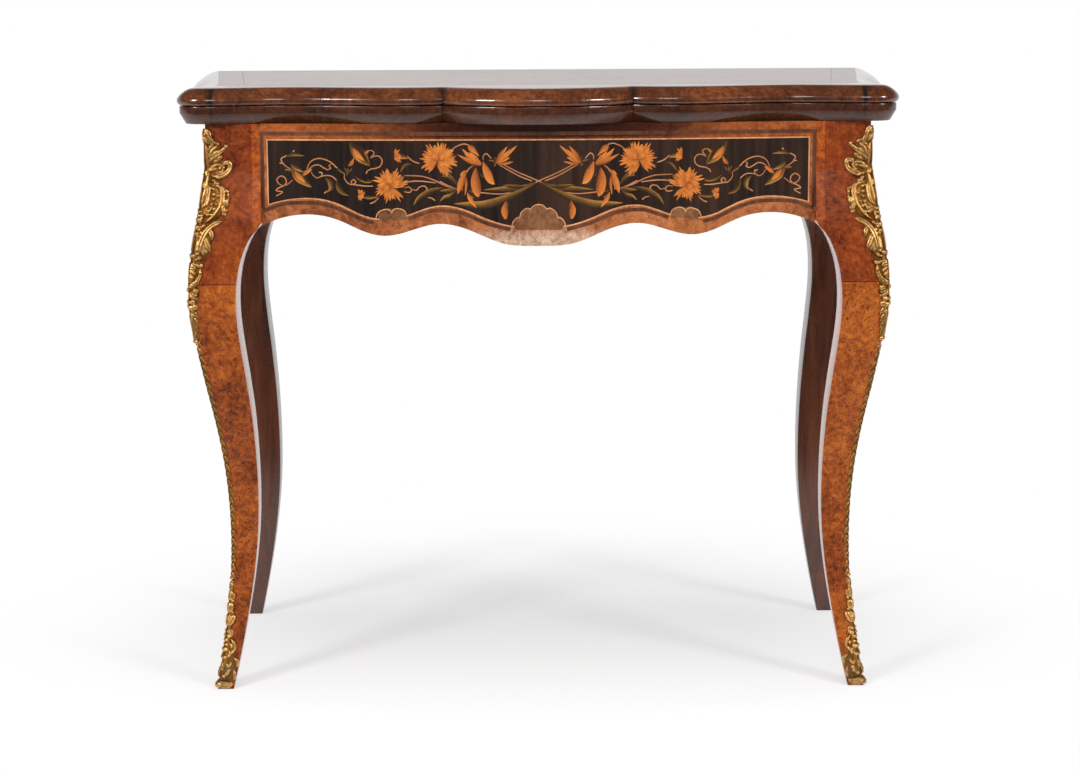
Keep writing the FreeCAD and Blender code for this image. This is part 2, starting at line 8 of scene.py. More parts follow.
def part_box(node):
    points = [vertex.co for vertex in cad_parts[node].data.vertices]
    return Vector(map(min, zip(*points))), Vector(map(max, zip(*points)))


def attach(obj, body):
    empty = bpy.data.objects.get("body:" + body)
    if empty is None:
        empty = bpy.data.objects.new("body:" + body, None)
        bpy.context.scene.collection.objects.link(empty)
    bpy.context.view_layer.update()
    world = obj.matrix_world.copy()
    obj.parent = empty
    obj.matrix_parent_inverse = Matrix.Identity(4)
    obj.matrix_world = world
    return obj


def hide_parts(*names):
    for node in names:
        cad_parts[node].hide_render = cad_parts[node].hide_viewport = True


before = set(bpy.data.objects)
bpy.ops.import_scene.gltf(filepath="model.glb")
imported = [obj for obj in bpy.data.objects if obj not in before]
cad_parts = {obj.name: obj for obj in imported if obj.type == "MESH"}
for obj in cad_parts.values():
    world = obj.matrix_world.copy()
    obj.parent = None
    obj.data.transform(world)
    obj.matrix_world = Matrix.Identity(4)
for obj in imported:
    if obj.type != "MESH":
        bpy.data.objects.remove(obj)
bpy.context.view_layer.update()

scene = bpy.context.scene
scene.view_settings.view_transform = "Standard"


# Studio: a plain pale floor that keeps the soft shadow of the table and fades to white,
# lit by three soft boxes in front, one overhead and an even pale surround.
class Finish:
    """One socket of a finish's nodes; arithmetic on it lays down Math nodes."""

    def __init__(self, tree, socket=None):
        self.tree = tree
        self.socket = socket

    def lay(self, kind, settings=None, inputs=None, output=0):
        node = self.tree.nodes.new("ShaderNode" + kind)
        for name, setting in (settings or {}).items():
            if name == "stops":
                stops = node.color_ramp.elements
                while len(stops) < len(setting):
                    stops.new(1.0)
                for stop, (place, colour) in zip(stops, setting):
                    stop.position = place
                    stop.color = (*colour, 1.0)
            else:
                setattr(node, name, setting)
        for name, value in (inputs or {}).items():
            if isinstance(value, Finish):
                self.tree.links.new(value.socket, node.inputs[name])
            else:
                node.inputs[name].default_value = value
        return Finish(self.tree, node.outputs[output] if node.outputs else None)

    def sum(self, operation, first, second=0.0):
        return self.lay("Math", {"operation": operation}, {0: first, 1: second})

    def __add__(self, other):
        return self.sum("ADD", self, other)

    __radd__ = __add__

    def __sub__(self, other):
        return self.sum("SUBTRACT", self, other)

    def __rsub__(self, other):
        return self.sum("SUBTRACT", other, self)

    def __mul__(self, other):
        return self.sum("MULTIPLY", self, other)

    __rmul__ = __mul__

    def ramp_up(self, low, high):
        """A smooth step from 0 at low to 1 at high."""
        limits = {"Value": self, "From Min": low, "From Max": high}
        return self.lay("MapRange", {"interpolation_type": "SMOOTHSTEP"}, limits)

    def over(self, colour, under):
        """Lays a colour over another where this mask is 1."""
        return self.lay("Mix", {"data_type": "RGBA"}, {0: self, 6: under, 7: colour}, 2)


def new_finish(name):
    material = bpy.data.materials.new(name)
    material.use_nodes = True
    material.node_tree.nodes.clear()
    return material, Finish(material.node_tree)


def light_paths(start):
    """Masks for what the camera sees straight on, and for what is mirrored or seen through."""
    seen = start.lay("LightPath", output="Is Camera Ray")
    mirrored = start.lay("LightPath", output="Is Glossy Ray")
    return seen, mirrored + start.lay("LightPath", output="Is Transmission Ray")


white = (1.0, 1.0, 1.0, 1.0)
floor_colour = (0.86, 0.86, 0.86, 1.0)
dim_studio = (0.1, 0.1, 0.105, 1.0)
floor_size = 30.0
shadow_reach = (0.3, 0.85)
shadow_share = 0.42
dim_floor_ahead = (-0.8, -0.25)
floor_finish, start = new_finish("studio_floor")
place = start.lay("TexCoord", output="Object")
reach = place.lay("VectorMath", {"operation": "LENGTH"}, {0: place}, "Value")
ahead = place.lay("SeparateXYZ", None, {"Vector": place}, "Y")
behind = ahead.ramp_up(*dim_floor_ahead)
seen, mirrored = light_paths(start)
fade = reach.ramp_up(*shadow_reach) * (1 - shadow_share) + shadow_share
paint = start.lay("BsdfDiffuse", None, {"Color": floor_colour})
shown_colour = seen.over(white, behind.over(white, dim_studio))
glow = start.lay("Emission", None, {"Color": shown_colour, "Strength": 1.0})
shown = start.lay("MixShader", None, {0: fade * seen + mirrored, 1: paint, 2: glow})
start.lay("OutputMaterial", None, {"Surface": shown})
floor = bmesh.new()
bmesh.ops.create_grid(floor, x_segments=1, y_segments=1, size=floor_size)
floor_mesh = bpy.data.meshes.new("studio_floor")
floor.to_mesh(floor_mesh)
floor_mesh.materials.append(floor_finish)
studio_floor = bpy.data.objects.new("studio_floor", floor_mesh)
scene.collection.objects.link(studio_floor)

surround_level = 0.42
pale_behind, dark_overhead = (-0.1, 0.5), (0.25, 0.65)
mirrored_gain, mirrored_least = 0.78, 0.09
surround = bpy.data.worlds.new("surround")
surround.use_nodes = True
surround.node_tree.nodes.clear()
start = Finish(surround.node_tree)
seen, mirrored = light_paths(start)
course = start.lay("TexCoord", output="Generated")
behind = start.lay("SeparateXYZ", None, {"Vector": course}, "Y").ramp_up(*pale_behind)
overhead = start.lay("SeparateXYZ", None, {"Vector": course}, "Z").ramp_up(*dark_overhead)
glossy_level = behind * (1 - overhead) * mirrored_gain + mirrored_least
level = seen + (1 - seen) * (mirrored * glossy_level + (1 - mirrored) * surround_level)
air = start.lay("Background", None, {"Color": white, "Strength": level})
start.lay("OutputWorld", None, {"Surface": air})
scene.world = surround

# Each soft box: name, place, size, power and whether polished wood mirrors it.
soft_boxes = [("front_box", (0.0, -4.2, 2.6), 1.1, 24.0, True),
              ("left_box", (-2.6, -3.0, 2.4), 0.9, 84.0, True),
              ("right_box", (2.8, -2.6, 2.2), 0.8, 60.0, True),
              ("high_box", (0.0, -0.6, 3.6), 2.2, 60.0, False)]
aim = Vector((0.0, 0.0, 0.5))
for name, spot, size, power, reflected in soft_boxes:
    lamp = bpy.data.lights.new(name, "AREA")
    lamp.size = size
    lamp.energy = power
    soft_box = bpy.data.objects.new(name, lamp)
    soft_box.location = spot
    soft_box.visible_glossy = reflected
    soft_box.rotation_euler = (aim - Vector(spot)).to_track_quat("-Z", "Y").to_euler()
    scene.collection.objects.link(soft_box)

# Camera: a little above the table and almost square to its front, looking down on it
# slightly, with the long lens of a studio picture.
eye = Vector((-0.0105, -3.2816, 0.952))
pitch, roll, yaw = 0.1775, -0.0049, -0.0036
picture_width, focal_pixels, sensor = 1080, 2505.5, 36.0
turn = Matrix.Rotation(yaw, 4, "Z") @ Matrix.Rotation(math.pi / 2 - pitch, 4, "X")
turn = turn @ Matrix.Rotation(roll, 4, "Z")
lens = bpy.data.cameras.new("studio_camera")
lens.sensor_width = sensor
lens.sensor_fit = "HORIZONTAL"
lens.lens = sensor * focal_pixels / picture_width
studio_camera = bpy.data.objects.new("studio_camera", lens)
studio_camera.matrix_world = Matrix.Translation(eye) @ turn
scene.collection.objects.link(studio_camera)
scene.camera = studio_camera


# Front legs: cabriole legs of walnut faced with burr veneer, a seam at the knee where the
# redder post veneer meets the paler burr of the leg; the rails are tenoned into their posts.
def finish_piece(shape, name, material, body, slot, *nodes, crease=40.0):
    """Makes a piece of a bmesh, smooth across its curves, riding its body."""
    bmesh.ops.recalc_face_normals(shape, faces=shape.faces)
    mesh = bpy.data.meshes.new(name)
    shape.to_mesh(mesh)
    shape.free()
    mesh.shade_smooth()
    mesh.set_sharp_from_angle(angle=math.radians(crease))
    mesh.materials.append(material)
    piece = bpy.data.objects.new(name, mesh)
    scene.collection.objects.link(piece)
    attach(piece, body)
    if nodes:
        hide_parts(*nodes)
    return piece


def polished(start, colour, roughness, bump, strength, coat=0.35):
    """Closes a finish as wood under french polish."""
    normal = start.lay("Bump", None, {"Height": bump, "Strength": strength, "Distance": 0.0004})
    inputs = {"Base Color": colour, "Roughness": roughness, "Normal": normal, "Coat Weight": coat,
              "Coat Roughness": 0.07, "IOR": 1.5}
    start.lay("OutputMaterial", None, {"Surface": start.lay("BsdfPrincipled", None, inputs)})


calm_soft, calm_share = 0.001, 0.72


def burr_walnut(name, dark, middle, pale, eyes=0.8, zones=(), calm=None, coat=0.35):
    """Burr veneer: clouded, with dark eyes up to a calm level, tinted in zones set by limits on the axes."""
    material, start = new_finish(name)
    place = start.lay("TexCoord", output="Object")
    sway = place.lay("TexNoise", None, {"Vector": place, "Scale": 16.0, "Detail": 3.0}, "Color")
    swayed = place.lay("VectorMath", {"operation": "MULTIPLY_ADD"},
                       {0: sway, 1: (0.035, 0.035, 0.035), 2: place})
    cloud = place.lay("TexNoise", None, {"Vector": swayed, "Scale": 36.0, "Detail": 6.0, "Roughness": 0.6})
    mottle = place.lay("TexNoise", None, {"Vector": swayed, "Scale": 150.0, "Detail": 4.0, "Roughness": 0.55})
    broad = place.lay("TexNoise", None, {"Vector": place, "Scale": 8.0, "Detail": 2.0})
    fine = place.lay("TexNoise", None, {"Vector": swayed, "Scale": 620.0, "Detail": 3.0})
    cells = place.lay("TexVoronoi", None, {"Vector": swayed, "Scale": 270.0})
    cluster = place.lay("TexNoise", None, {"Vector": place, "Scale": 60.0, "Detail": 3.0})
    tone = cloud * 0.34 + mottle * 0.5 + broad * 0.42 + fine * 0.3 - 0.29
    stops = [(0.34, dark), (0.5, middle), (0.68, pale)]
    colour = tone.lay("ValToRGB", {"stops": stops}, {"Fac": tone})
    knot = (1 - cells.ramp_up(0.14, 0.38)) * cluster.ramp_up(0.36, 0.52) * eyes
    if calm:
        height = place.lay("SeparateXYZ", None, {"Vector": place}, "Z")
        knot = knot * (1 - height.ramp_up(calm, calm + calm_soft) * calm_share)
    colour = knot.over((*[part * 0.5 for part in dark], 1.0), colour)
    for tint, limits in zones:
        zone = 1.0
        for axis, low, high in limits:
            away = start.sum("ABSOLUTE", place.lay("SeparateXYZ", None, {"Vector": place}, axis))
            zone = away.ramp_up(low, high) * zone
        tinted = place.lay("Mix", {"data_type": "RGBA", "blend_type": "MULTIPLY"},
                           {0: 1.0, 6: colour, 7: (*tint, 1.0)}, 2)
        colour = zone.over(tinted, colour)
    roughness = cloud * 0.12 + 0.18 + knot * 0.12
    polished(start, colour, roughness, fine + cells * 0.6, 0.14, coat)
    return material


merge_reach = 1e-6


def merged_copy(node):
    """A construction piece's mesh as a bmesh, its loose triangles merged."""
    shape = bmesh.new()
    shape.from_mesh(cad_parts[node].data)
    bmesh.ops.remove_doubles(shape, verts=shape.verts, dist=merge_reach)
    return shape


def leg_sections(node, levels):
    """The leg's extent at each level: low x, high x, low y, high y."""
    shape = merged_copy(node)
    sections = []
    for level in levels:
        everything = shape.verts[:] + shape.edges[:] + shape.faces[:]
        cut = bmesh.ops.bisect_plane(shape, geom=everything, plane_co=(0, 0, level), plane_no=(0, 0, 1))
        ring = [point.co for point in cut["geom_cut"] if isinstance(point, bmesh.types.BMVert)]
        across = [point.x for point in ring]
        along = [point.y for point in ring]
        sections.append((min(across), max(across), min(along), max(along)))
    shape.free()
    return sections


def stand_out(sections, levels, bow):
    """Moves each section sideways by what the leg's bow gains at its level."""
    moved = []
    for (low_x, high_x, low_y, high_y), level in zip(sections, levels):
        gain = 0.0
        for (below, first), (above, last) in zip(bow, bow[1:]):
            if below <= level < above:
                gain = first + (last - first) * (level - below) / (above - below)
        moved.append((low_x + gain, high_x + gain, low_y, high_y))
    return moved


def carve_leg(sections, levels, corner, inner_corner):
    """Lofts a leg through its sections, its arrises eased, the inner front one less."""
    shape = bmesh.new()
    bmesh.ops.create_grid(shape, x_segments=1, y_segments=1, size=0.5)
    inner = [spot for spot in shape.verts if spot.co.x < 0 and spot.co.y < 0]
    outer = [spot for spot in shape.verts if spot not in inner]
    for spots, ease in ((outer, corner), (inner, inner_corner)):
        bmesh.ops.bevel(shape, geom=spots, offset=ease, offset_type="OFFSET", segments=4,
                        profile=0.5, affect="VERTICES", material=-1)
    face = shape.faces[:][0]
    before = Matrix.Identity(4)
    for step, (section, level) in enumerate(zip(sections, levels)):
        low_x, high_x, low_y, high_y = section
        middle = Vector(((low_x + high_x) / 2, (low_y + high_y) / 2, level))
        now = Matrix.Translation(middle) @ Matrix.Diagonal((high_x - low_x, high_y - low_y, 1.0, 1.0))
        if step:
            grown = bmesh.ops.extrude_face_region(shape, geom=[face])
            face = [part for part in grown["geom"] if isinstance(part, bmesh.types.BMFace)][0]
        bmesh.ops.transform(shape, matrix=now @ before.inverted(), verts=face.verts[:])
        before = now
    bmesh.ops.holes_fill(shape, edges=shape.edges[:], sides=0)
    return shape


def leg_pair(sections, inner_corner, material, slot, names):
    """Carves a right leg and its mirrored twin."""
    for side, name in zip((1, -1), names):
        leg = carve_leg(sections, leg_levels, arris_ease, inner_corner)
        bmesh.ops.scale(leg, vec=(side, 1, 1), verts=leg.verts[:])
        finish_piece(leg, name + "_carved", material, "frame", slot, name)


leg_dark, leg_middle, leg_pale = (0.09, 0.014, 0.002), (0.28, 0.056, 0.004), (0.48, 0.128, 0.01)
knee_seam = 0.5265
above_seam = ("Z", knee_seam, knee_seam + 0.0006)
below_seam_line = ("Z", knee_seam + 0.0018, knee_seam + 0.0008)
post_strip = [("X", 0.3563, 0.3557), ("Z", 0.585, 0.615)]
post_line = [("X", 0.3552, 0.3558), ("X", 0.357, 0.3562), ("Z", 0.6, 0.63)]
post_red, seam_dark = (0.72, 0.58, 0.62), (0.15, 0.13, 0.2)
strip_pale, line_dark = (1.5, 1.75, 2.0), (0.78, 0.74, 0.76)
leg_zones = [(post_red, [above_seam]), (seam_dark, [above_seam, below_seam_line]),
             (strip_pale, post_strip), (line_dark, post_line)]
leg_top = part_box("front_right_leg")[1].z
level_count = 96
top_gap = 0.0002
leg_levels = [top_gap + (leg_top - 2 * top_gap) * step / (level_count - 1) for step in range(level_count)]
# How far each level of a leg stands out sideways from the construction: level, then gain.
front_bow = [(0.0, 0.0005), (0.1, 0.0014), (0.2, 0.002), (0.3, 0.003), (0.39, 0.0038), (0.47, 0.0028),
             (0.55, 0.0022), (0.605, 0.0)]
front_sections = stand_out(leg_sections("front_right_leg", leg_levels), leg_levels, front_bow)
leg_burr = burr_walnut("leg_burr_walnut", leg_dark, leg_middle, leg_pale, 0.85, leg_zones, knee_seam)
arris_ease, inner_ease = 0.035, 0.012
leg_pair(front_sections, inner_ease, leg_burr, "burr_walnut", ("front_right_leg", "front_left_leg"))


# Rear legs and rear rail: plain red walnut from the solid, the legs of the same sweep as the
# front ones but without veneer or mounts, the rail tenoned between them.
def straight_grain(name, dark, middle, pale, along):
    """Straight-grained walnut or oak: long streaks and short dark pores along the grain."""
    material, start = new_finish(name)
    place = start.lay("TexCoord", output="Object")
    stretch = {"X": (0.07, 1, 1), "Z": (1, 1, 0.07)}[along]
    drawn = place.lay("Mapping", None, {"Vector": place, "Scale": stretch})
    streak = place.lay("TexNoise", None, {"Vector": drawn, "Scale": 85.0, "Detail": 6.0,
                                          "Roughness": 0.6, "Distortion": 0.7})
    figure = place.lay("TexNoise", None, {"Vector": drawn, "Scale": 22.0, "Detail": 3.0})
    pores = place.lay("TexNoise", None, {"Vector": drawn, "Scale": 900.0, "Detail": 2.0})
    tone = streak * 0.7 + figure * 0.45 - 0.08
    colour = tone.lay("ValToRGB", {"stops": [(0.3, dark), (0.5, middle), (0.74, pale)]}, {"Fac": tone})
    pit = pores.ramp_up(0.58, 0.68)
    colour = (pit * 0.6).over((*[part * 0.4 for part in dark], 1.0), colour)
    polished(start, colour, streak * 0.16 + 0.2 + pit * 0.2, streak - pit * 0.7, 0.18, 0.3)
    return material


rear_dark, rear_middle, rear_pale = (0.022, 0.005, 0.0016), (0.066, 0.015, 0.0042), (0.12, 0.03, 0.008)
rear_walnut = straight_grain("rear_leg_walnut", rear_dark, rear_middle, rear_pale, "Z")
rear_bow = [(0.0, 0.0018), (0.1, 0.0026), (0.2, 0.0038), (0.29, 0.0054), (0.37, 0.007), (0.42, 0.007),
            (0.48, 0.0058), (0.54, 0.0038), (0.605, 0.0)]
rear_sections = stand_out(leg_sections("rear_right_leg", leg_levels), leg_levels, rear_bow)
leg_pair(rear_sections, arris_ease, rear_walnut, "walnut", ("rear_right_leg", "rear_left_leg"))
rear_rail_walnut = straight_grain("rear_rail_walnut", rear_dark, rear_middle, rear_pale, "X")


def dress(node, material):
    """Gives a construction piece, left as it is, its finish."""
    node_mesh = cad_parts[node].data
    node_mesh.materials.clear()
    node_mesh.materials.append(material)


dress("rear_rail", rear_rail_walnut)


# Front rail veneers: an oak rail, bowed in plan, faced with a near-black marquetry ground,
# a boxwood string round it and a walnut crossband that follows the scalloped lower edge.
bow_radius = 2.71735
front_turn = -0.9


def front_veneer(node, name, material, slot):
    """A merged copy of a veneer on the rail, shaded as one even bow."""
    mesh = finish_piece(merged_copy(node), name, material, "frame", slot, node).data
    facings = []
    for face in mesh.polygons:
        for corner in face.vertices:
            across = mesh.vertices[corner].co.x / bow_radius
            bow = (across, -math.sqrt(1 - across ** 2), 0.0)
            facings.append(bow if face.normal.y < front_turn else tuple(face.normal))
    mesh.normals_split_custom_set(facings)


def ebonised(name):
    """Near-black stained veneer with a faint upright flame."""
    material, start = new_finish(name)
    place = start.lay("TexCoord", output="Object")
    drawn = place.lay("Mapping", None, {"Vector": place, "Scale": (1, 1, 0.05)})
    grain = place.lay("TexNoise", None, {"Vector": drawn, "Scale": 150.0, "Detail": 5.0})
    flame = place.lay("TexNoise", None, {"Vector": drawn, "Scale": 16.0, "Detail": 3.0, "Distortion": 0.5})
    tone = grain * 0.5 + flame * 0.6
    stops = [(0.4, (0.007, 0.003, 0.0016)), (0.56, (0.019, 0.008, 0.0042)), (0.72, (0.045, 0.018, 0.008))]
    colour = tone.lay("ValToRGB", {"stops": stops}, {"Fac": tone})
    polished(start, colour, grain * 0.12 + 0.24, grain, 0.06)
    return material


def banding(name, dark, middle, pale, stretch=(1, 1, 0.12)):
    """Veneer cut across the grain, so that short streaks run across the band."""
    material, start = new_finish(name)
    place = start.lay("TexCoord", output="Object")
    drawn = place.lay("Mapping", None, {"Vector": place, "Scale": stretch})
    streak = place.lay("TexNoise", None, {"Vector": drawn, "Scale": 190.0, "Detail": 6.0, "Roughness": 0.62})
    lengths = place.lay("TexNoise", None, {"Vector": place, "Scale": 11.0, "Detail": 3.0})
    tone = streak * 0.75 + lengths * 0.5 - 0.12
    colour = tone.lay("ValToRGB", {"stops": [(0.34, dark), (0.52, middle), (0.72, pale)]}, {"Fac": tone})
    polished(start, colour, streak * 0.16 + 0.27, streak, 0.12)
    return material


panel_ebony = ebonised("panel_ground")
band_dark, band_middle, band_pale = (0.15, 0.038, 0.011), (0.33, 0.1, 0.03), (0.5, 0.18, 0.06)
# The zone that darkens the top strip of the crossband at the middle is painted shade under the leaf's
# overhang, which stands out furthest there, and partly a darker veneer.
top_warm, dark_veneer_and_overhang_shade, tongue_floor_reflection = (0.94, 0.74, 0.48), (0.12, 0.065, 0.03), (1.4, 2.9, 6.5)
# The last zone, pale and grey low on the middle tongue below the shell, is a painted reflection of the floor.
band_zones = [(top_warm, [("Z", 0.699, 0.708)]),
              (dark_veneer_and_overhang_shade, [("Z", 0.702, 0.711), ("X", 0.32, 0.1)]),
              (tongue_floor_reflection, [("Z", 0.601, 0.585), ("X", 0.12, 0.03)])]
band_walnut = burr_walnut("crossband_walnut", band_dark, band_middle, band_pale, 0.3, band_zones)
string_box = banding("boxwood_string", (0.36, 0.14, 0.05), (0.56, 0.25, 0.1), (0.7, 0.36, 0.16))
front_veneer("front_panel_veneer", "front_panel_ground", panel_ebony, "ebonised_ground")
front_veneer("front_crossband", "front_band", band_walnut, "burr_walnut")
front_veneer("front_string", "front_box_string", string_box, "boxwood")
carcass_oak = straight_grain("carcass_oak", (0.13, 0.065, 0.026), (0.28, 0.16, 0.072),
                             (0.42, 0.26, 0.13), "X")
dress("front_rail", carcass_oak)

# Floral marquetry: carnations, lilies and convolvulus of sand-shaded pale woods, sawn as thin
# plates and let into the dark ground, the left half a mirror of the right, stems crossing.
millimetre = 0.001
bow_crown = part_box("front_panel_veneer")[0].y
plate_depth = 0.0004
twin_gap = 0.000012


def bowed(across, height, lift):
    """A place on the bowed face, given in millimetres from the middle and from the floor."""
    across, height = across * millimetre, height * millimetre
    sag = bow_radius - math.sqrt(bow_radius ** 2 - across ** 2)
    return Vector((across, bow_crown + sag - lift * millimetre, height))


def follow(points, share):
    """Place and direction on a smooth curve drawn through the points."""
    points = [Vector(point) for point in points]
    spot = share * (len(points) - 1)
    first = min(int(spot), len(points) - 2)
    part = spot - first
    near, far = points[first], points[first + 1]
    before = points[first - 1] if first else near * 2 - far
    after = points[first + 2] if first + 2 < len(points) else far * 2 - near
    pull, bend = far - before, before * 2 - near * 5 + far * 4 - after
    twist = near * 3 - before - far * 3 + after
    place = (near * 2 + pull * part + bend * part ** 2 + twist * part ** 3) / 2
    return place, (pull + bend * (2 * part) + twist * (3 * part ** 2)).normalized()


def between(values, share):
    """Value at a share of the way along an evenly spaced list."""
    spot = share * (len(values) - 1)
    first = min(int(spot), len(values) - 2)
    return values[first] + (values[first + 1] - values[first]) * (spot - first)


# Plate outlines: share of the full width at even steps from root to tip.
leaf_outline = (0.12, 0.6, 0.93, 1.0, 0.82, 0.5, 0.03)
bud_outline = (0.3, 0.75, 1.0, 0.95, 0.7, 0.34, 0.04)
petal_outline = (0.22, 0.4, 0.66, 0.95, 1.0, 0.62, 0.1)
stem_outline = (0.8, 1.0, 1.0, 1.0, 0.7)
span_steps, narrow_plate = 6, 3.5
root_shade, tip_gain, rim_loss = 0.3, 0.36, 0.12
petal_teeth, tooth_length, tooth_notch, root_share = 3, 0.9, 0.1, 0.05
turn_sway, petal_sway, tooth_sway, side_sway = 2, 0.13, 0.06, 0.04
petal_step, tooth_step, petal_tint, petal_split = 0.012, 0.003, 0.13, 0.08


def plate(shape, points, width, outline, lift, tint=0.0, split=0.22):
    """Saws one plate of veneer along a curve, paler towards its tip and one edge."""
    shade = shape.verts.layers.float.get("shade") or shape.verts.layers.float.new("shade")
    steps = span_steps * (len(points) - 1) + 2
    strips = 4 if width > narrow_plate else 2
    sawn = bmesh.ops.create_grid(shape, x_segments=steps, y_segments=strips, size=0.5)
    for corner in sawn["verts"]:
        share, across = corner.co.x + 0.5, corner.co.y * 2
        place, course = follow(points, share)
        place = place + Vector((-course.y, course.x)) * (across * width / 2 * between(outline, share))
        corner[shade] = root_shade + tip_gain * share + split * across + tint - rim_loss * abs(across)
        corner.co = bowed(place.x, place.y, lift)


def fan(shape, centre, radius, facing, spread, count, width, lift):
    """A fan of toothed petals, long and short by turns, made uneven by sines."""
    for tooth in range(count):
        petal = tooth // petal_teeth
        turn = facing + spread * (tooth / max(count - 1, 1) - 0.5) + turn_sway * math.sin(tooth * 3.7)
        uneven = petal_sway * math.sin(petal * 2.4 + facing) - tooth_sway * math.sin(tooth * 2.3)
        long = radius * (tooth_length - tooth_notch * (tooth % 2) + uneven)
        course = Vector((math.cos(math.radians(turn)), math.sin(math.radians(turn))))
        side = Vector((-course.y, course.x)) * (side_sway * radius * math.sin(petal * 1.7))
        root, tip = Vector(centre) + course * radius * root_share, Vector(centre) + course * long
        layer = lift + petal_step * (petal % 3) + tooth_step * (tooth % petal_teeth)
        plate(shape, [root, (root + tip) / 2 + side, tip], width, petal_outline, layer,
              petal_tint * math.sin(petal * 4.1), petal_split)


def inlaid(shape, name, material, slot="boxwood"):
    """Mirrors the plates about the middle, gives them depth and lets them in."""
    twin = bmesh.ops.duplicate(shape, geom=shape.verts[:] + shape.edges[:] + shape.faces[:])
    turned = [part for part in twin["geom"] if isinstance(part, bmesh.types.BMVert)]
    bmesh.ops.scale(shape, vec=(-1, 1, 1), verts=turned)
    bmesh.ops.translate(shape, vec=(0, twin_gap, 0), verts=turned)
    deep = bmesh.ops.extrude_face_region(shape, geom=shape.faces[:], use_keep_orig=True)
    back = [part for part in deep["geom"] if isinstance(part, bmesh.types.BMVert)]
    bmesh.ops.translate(shape, vec=(0, plate_depth, 0), verts=back)
    finish_piece(shape, name, material, "frame", slot)


def sand_shaded(name, scorched, middle, pale):
    """Pale wood scorched in hot sand, so that each plate runs from dark to light."""
    material, start = new_finish(name)
    place = start.lay("TexCoord", output="Object")
    shade = start.lay("Attribute", {"attribute_name": "shade"}, None, "Fac")
    grain = place.lay("TexNoise", None, {"Vector": place, "Scale": 500.0, "Detail": 4.0})
    cloud = place.lay("TexNoise", None, {"Vector": place, "Scale": 60.0, "Detail": 3.0})
    tone = shade + grain * 0.3 + cloud * 0.34 - 0.32
    stops = [(0.08, scorched), (0.46, middle), (0.86, pale)]
    colour = tone.lay("ValToRGB", {"stops": stops}, {"Fac": tone})
    polished(start, colour, grain * 0.1 + 0.27, grain, 0.08)
    return material


stem_wood = sand_shaded("stem_wood", (0.2, 0.066, 0.024), (0.42, 0.16, 0.06), (0.6, 0.28, 0.12))
leaf_wood = sand_shaded("leaf_wood", (0.03, 0.013, 0.0025), (0.11, 0.048, 0.007), (0.4, 0.18, 0.03))
petal_wood = sand_shaded("petal_wood", (0.17, 0.034, 0.004), (0.44, 0.115, 0.012), (0.66, 0.23, 0.038))

# Each stem: points to the right of the middle and above the floor, in millimetres.
stem_width, stem_lift, stem_overlap, stem_tint = 1.5, 0.06, 0.008, 0.05
stem_runs = [
    [(305, 656), (311, 651), (316, 649), (322, 651), (325, 656), (322, 660), (318, 661), (314, 658),
     (313, 653), (316, 649), (321, 647), (326, 643), (318, 641), (326, 636)],
    [(306, 669), (313, 673), (317, 677), (319, 682), (315, 685), (310, 687)],
    [(317, 676), (319, 677), (321, 677)], [(308, 688), (305, 690), (302, 693)],
    [(292, 666), (284, 670), (279, 674), (272, 675), (265, 671), (261, 669)],
    [(287, 670), (283, 678), (277, 682), (270, 683), (262, 681), (255, 677), (248, 670), (240, 664)],
    [(255, 677), (259, 674), (257, 671), (261, 669)], [(262, 643), (264, 641), (266, 640)],
    [(282, 667), (279, 662), (274, 659), (269, 661), (262, 662), (256, 661), (251, 657), (249, 654)],
    [(269, 661), (268, 665), (272, 666)], [(240, 664), (240, 658), (235, 652), (230, 651), (221, 650)],
    [(230, 651), (232, 654), (229, 657), (226, 654), (228, 651), (222, 650), (214, 649), (205, 649)],
    [(212, 689), (209, 693), (204, 692), (203, 689), (207, 684), (203, 686), (197, 686), (193, 681),
     (195, 674), (201, 671), (207, 670), (212, 667), (213, 664)], [(162, 686), (155, 680), (147, 677)],
    [(166, 662), (158, 662), (143, 661), (128, 656), (116, 650), (100, 645)],
    [(173, 648), (164, 653), (157, 655), (143, 655), (127, 653)],
    [(166, 647), (160, 648), (157, 644), (160, 641), (166, 642)],
    [(157, 645), (151, 644), (147, 648), (141, 649), (138, 646), (139, 643)],
    [(137, 635), (132, 634), (128, 631)], [(198, 634), (204, 629), (209, 627)],
    [(108, 689), (104, 696), (96, 700), (91, 701), (84, 699)],
    [(68, 681), (68, 686), (64, 689), (58, 683)], [(81, 674), (86, 670), (89, 665)],
    [(48, 678), (25, 666), (2, 656), (-10, 650)], [(48, 675), (25, 662), (8, 655)],
    [(3, 652), (38, 640), (64, 640), (87, 644)], [(101, 645), (113, 650), (122, 655)],
    [(37, 634), (39, 631), (40, 628)]]
stems = bmesh.new()
for number, run in enumerate(stem_runs):
    lift = stem_lift + stem_overlap * (number % 4)
    plate(stems, run, stem_width, stem_outline, lift, stem_tint * math.sin(number * 3.0))
inlaid(stems, "marquetry_stems", stem_wood)

